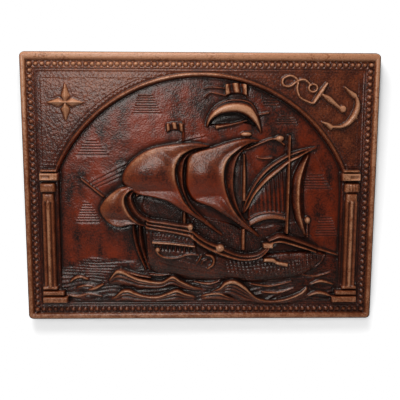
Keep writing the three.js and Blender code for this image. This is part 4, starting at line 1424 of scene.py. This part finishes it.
# %% Grain and gloss
pebbles = node(
    tree, "ShaderNodeTexVoronoi", {"feature": "SMOOTH_F1"}, {"Vector": place, "Scale": 620.0}
)
wrinkles = node(tree, "ShaderNodeTexNoise", {}, {"Vector": place, "Scale": 260.0, "Detail": 3.0})
grain = node(
    tree,
    "ShaderNodeMath",
    {"operation": "ADD"},
    {0: pebbles.outputs["Distance"], 1: wrinkles.outputs["Fac"]},
)
bump = node(
    tree, "ShaderNodeBump", {}, {"Height": grain.outputs[0], "Distance": 0.0006, "Strength": 0.32}
)
dullness = node(
    tree,
    "ShaderNodeMapRange",
    {},
    {"Value": maps["stained"], "To Min": 0.4, "To Max": 0.75},
)
skin = node(
    tree,
    "ShaderNodeBsdfPrincipled",
    {},
    {
        "Base Color": backed.outputs[2],
        "Roughness": dullness.outputs["Result"],
        "IOR": 1.5,
        "Specular IOR Level": 0.15,
        "Coat Weight": 1.0,
        "Coat Roughness": 0.25,
        "Coat IOR": 1.5,
        "Normal": bump.outputs["Normal"],
        "Coat Normal": bump.outputs["Normal"],
    },
)
node(tree, "ShaderNodeOutputMaterial", {}, {"Surface": skin.outputs["BSDF"]})
plaque.data.materials.append(leather)

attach(plaque, "root")
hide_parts("relief_panel")

print("leather on", plaque.name)

# %% [markdown]
# ## Wall, floor, light and camera
#
# The plaque hangs against a white wall over a pale floor. A soft lamp above throws the shadows of the
# relief downward, and a large softbox in front, up to the left, gives the leather its shine.

# %% Wall and floor
def sheet_of_paper(name, corners, code):
    """A flat sheet of the stage."""
    made = bpy.data.meshes.new(name)
    made.from_pydata(corners, [], [(0, 1, 2, 3)])
    paint = bpy.data.materials.new(name + "_paint")
    paint.use_nodes = True
    paint.node_tree.nodes["Principled BSDF"].inputs["Base Color"].default_value = linear(code)
    paint.node_tree.nodes["Principled BSDF"].inputs["Roughness"].default_value = 0.8
    made.materials.append(paint)
    thing = bpy.data.objects.new(name, made)
    bpy.context.collection.objects.link(thing)
    return thing


FLOOR = -0.6
BEHIND = 0.001
wall = sheet_of_paper(
    "wall", [(-2, BEHIND, FLOOR), (2, BEHIND, FLOOR), (2, BEHIND, 2), (-2, BEHIND, 2)], "#f2f0ec"
)
wall.is_shadow_catcher = True
sheet_of_paper("floor", [(-3, -3, FLOOR), (3, -3, FLOOR), (3, 3, FLOOR), (-3, 3, FLOOR)], "#e8e6e2")

# %% Light
world = bpy.data.worlds.new("white_room")
bpy.context.scene.world = world
world.use_nodes = True
room = world.node_tree
room.nodes.clear()
seen = node(room, "ShaderNodeBackground", {}, {"Color": linear("#ffffff"), "Strength": 1.0})
fill = node(room, "ShaderNodeBackground", {}, {"Color": linear("#ffffff"), "Strength": 0.04})
direct = node(room, "ShaderNodeLightPath", {}, {}).outputs["Is Camera Ray"]
mixed = node(room, "ShaderNodeMixShader", {}, {0: direct, 1: fill.outputs[0], 2: seen.outputs[0]})
node(room, "ShaderNodeOutputWorld", {}, {"Surface": mixed.outputs[0]})


def softbox(name, place, size, watts, tone):
    """A square soft lamp that faces the middle of the plaque."""
    lamp = bpy.data.lights.new(name, "AREA")
    lamp.shape = "SQUARE"
    lamp.size = size
    lamp.energy = watts
    lamp.color = linear(tone)[:3]
    thing = bpy.data.objects.new(name, lamp)
    thing.location = place
    thing.rotation_euler = (-thing.location).to_track_quat("-Z", "Y").to_euler()
    bpy.context.collection.objects.link(thing)


softbox("lamp_above", (-0.12, -0.38, 0.62), 0.45, 3.3, "#fff6ee")
softbox("softbox_in_front", (-0.32, -1.37, 0.4), 0.5, 4.2, "#fffaf4")

# %% Camera
LENS_MM = 48.6
SENSOR_MM = 36
CAMERA_AT = (-0.0135, -0.6551, 0.0709)
CAMERA_TILT = (82.581, -0.193, -1.108)  # degrees
lens = bpy.data.cameras.new("camera")
lens.lens = LENS_MM
lens.sensor_width = SENSOR_MM
camera = bpy.data.objects.new("camera", lens)
camera.location = CAMERA_AT
camera.rotation_euler = [math.radians(a) for a in CAMERA_TILT]
bpy.context.collection.objects.link(camera)
bpy.context.scene.camera = camera
bpy.context.scene.view_settings.view_transform = "Standard"

print("camera", round(camera.location.length, 3), "m away")
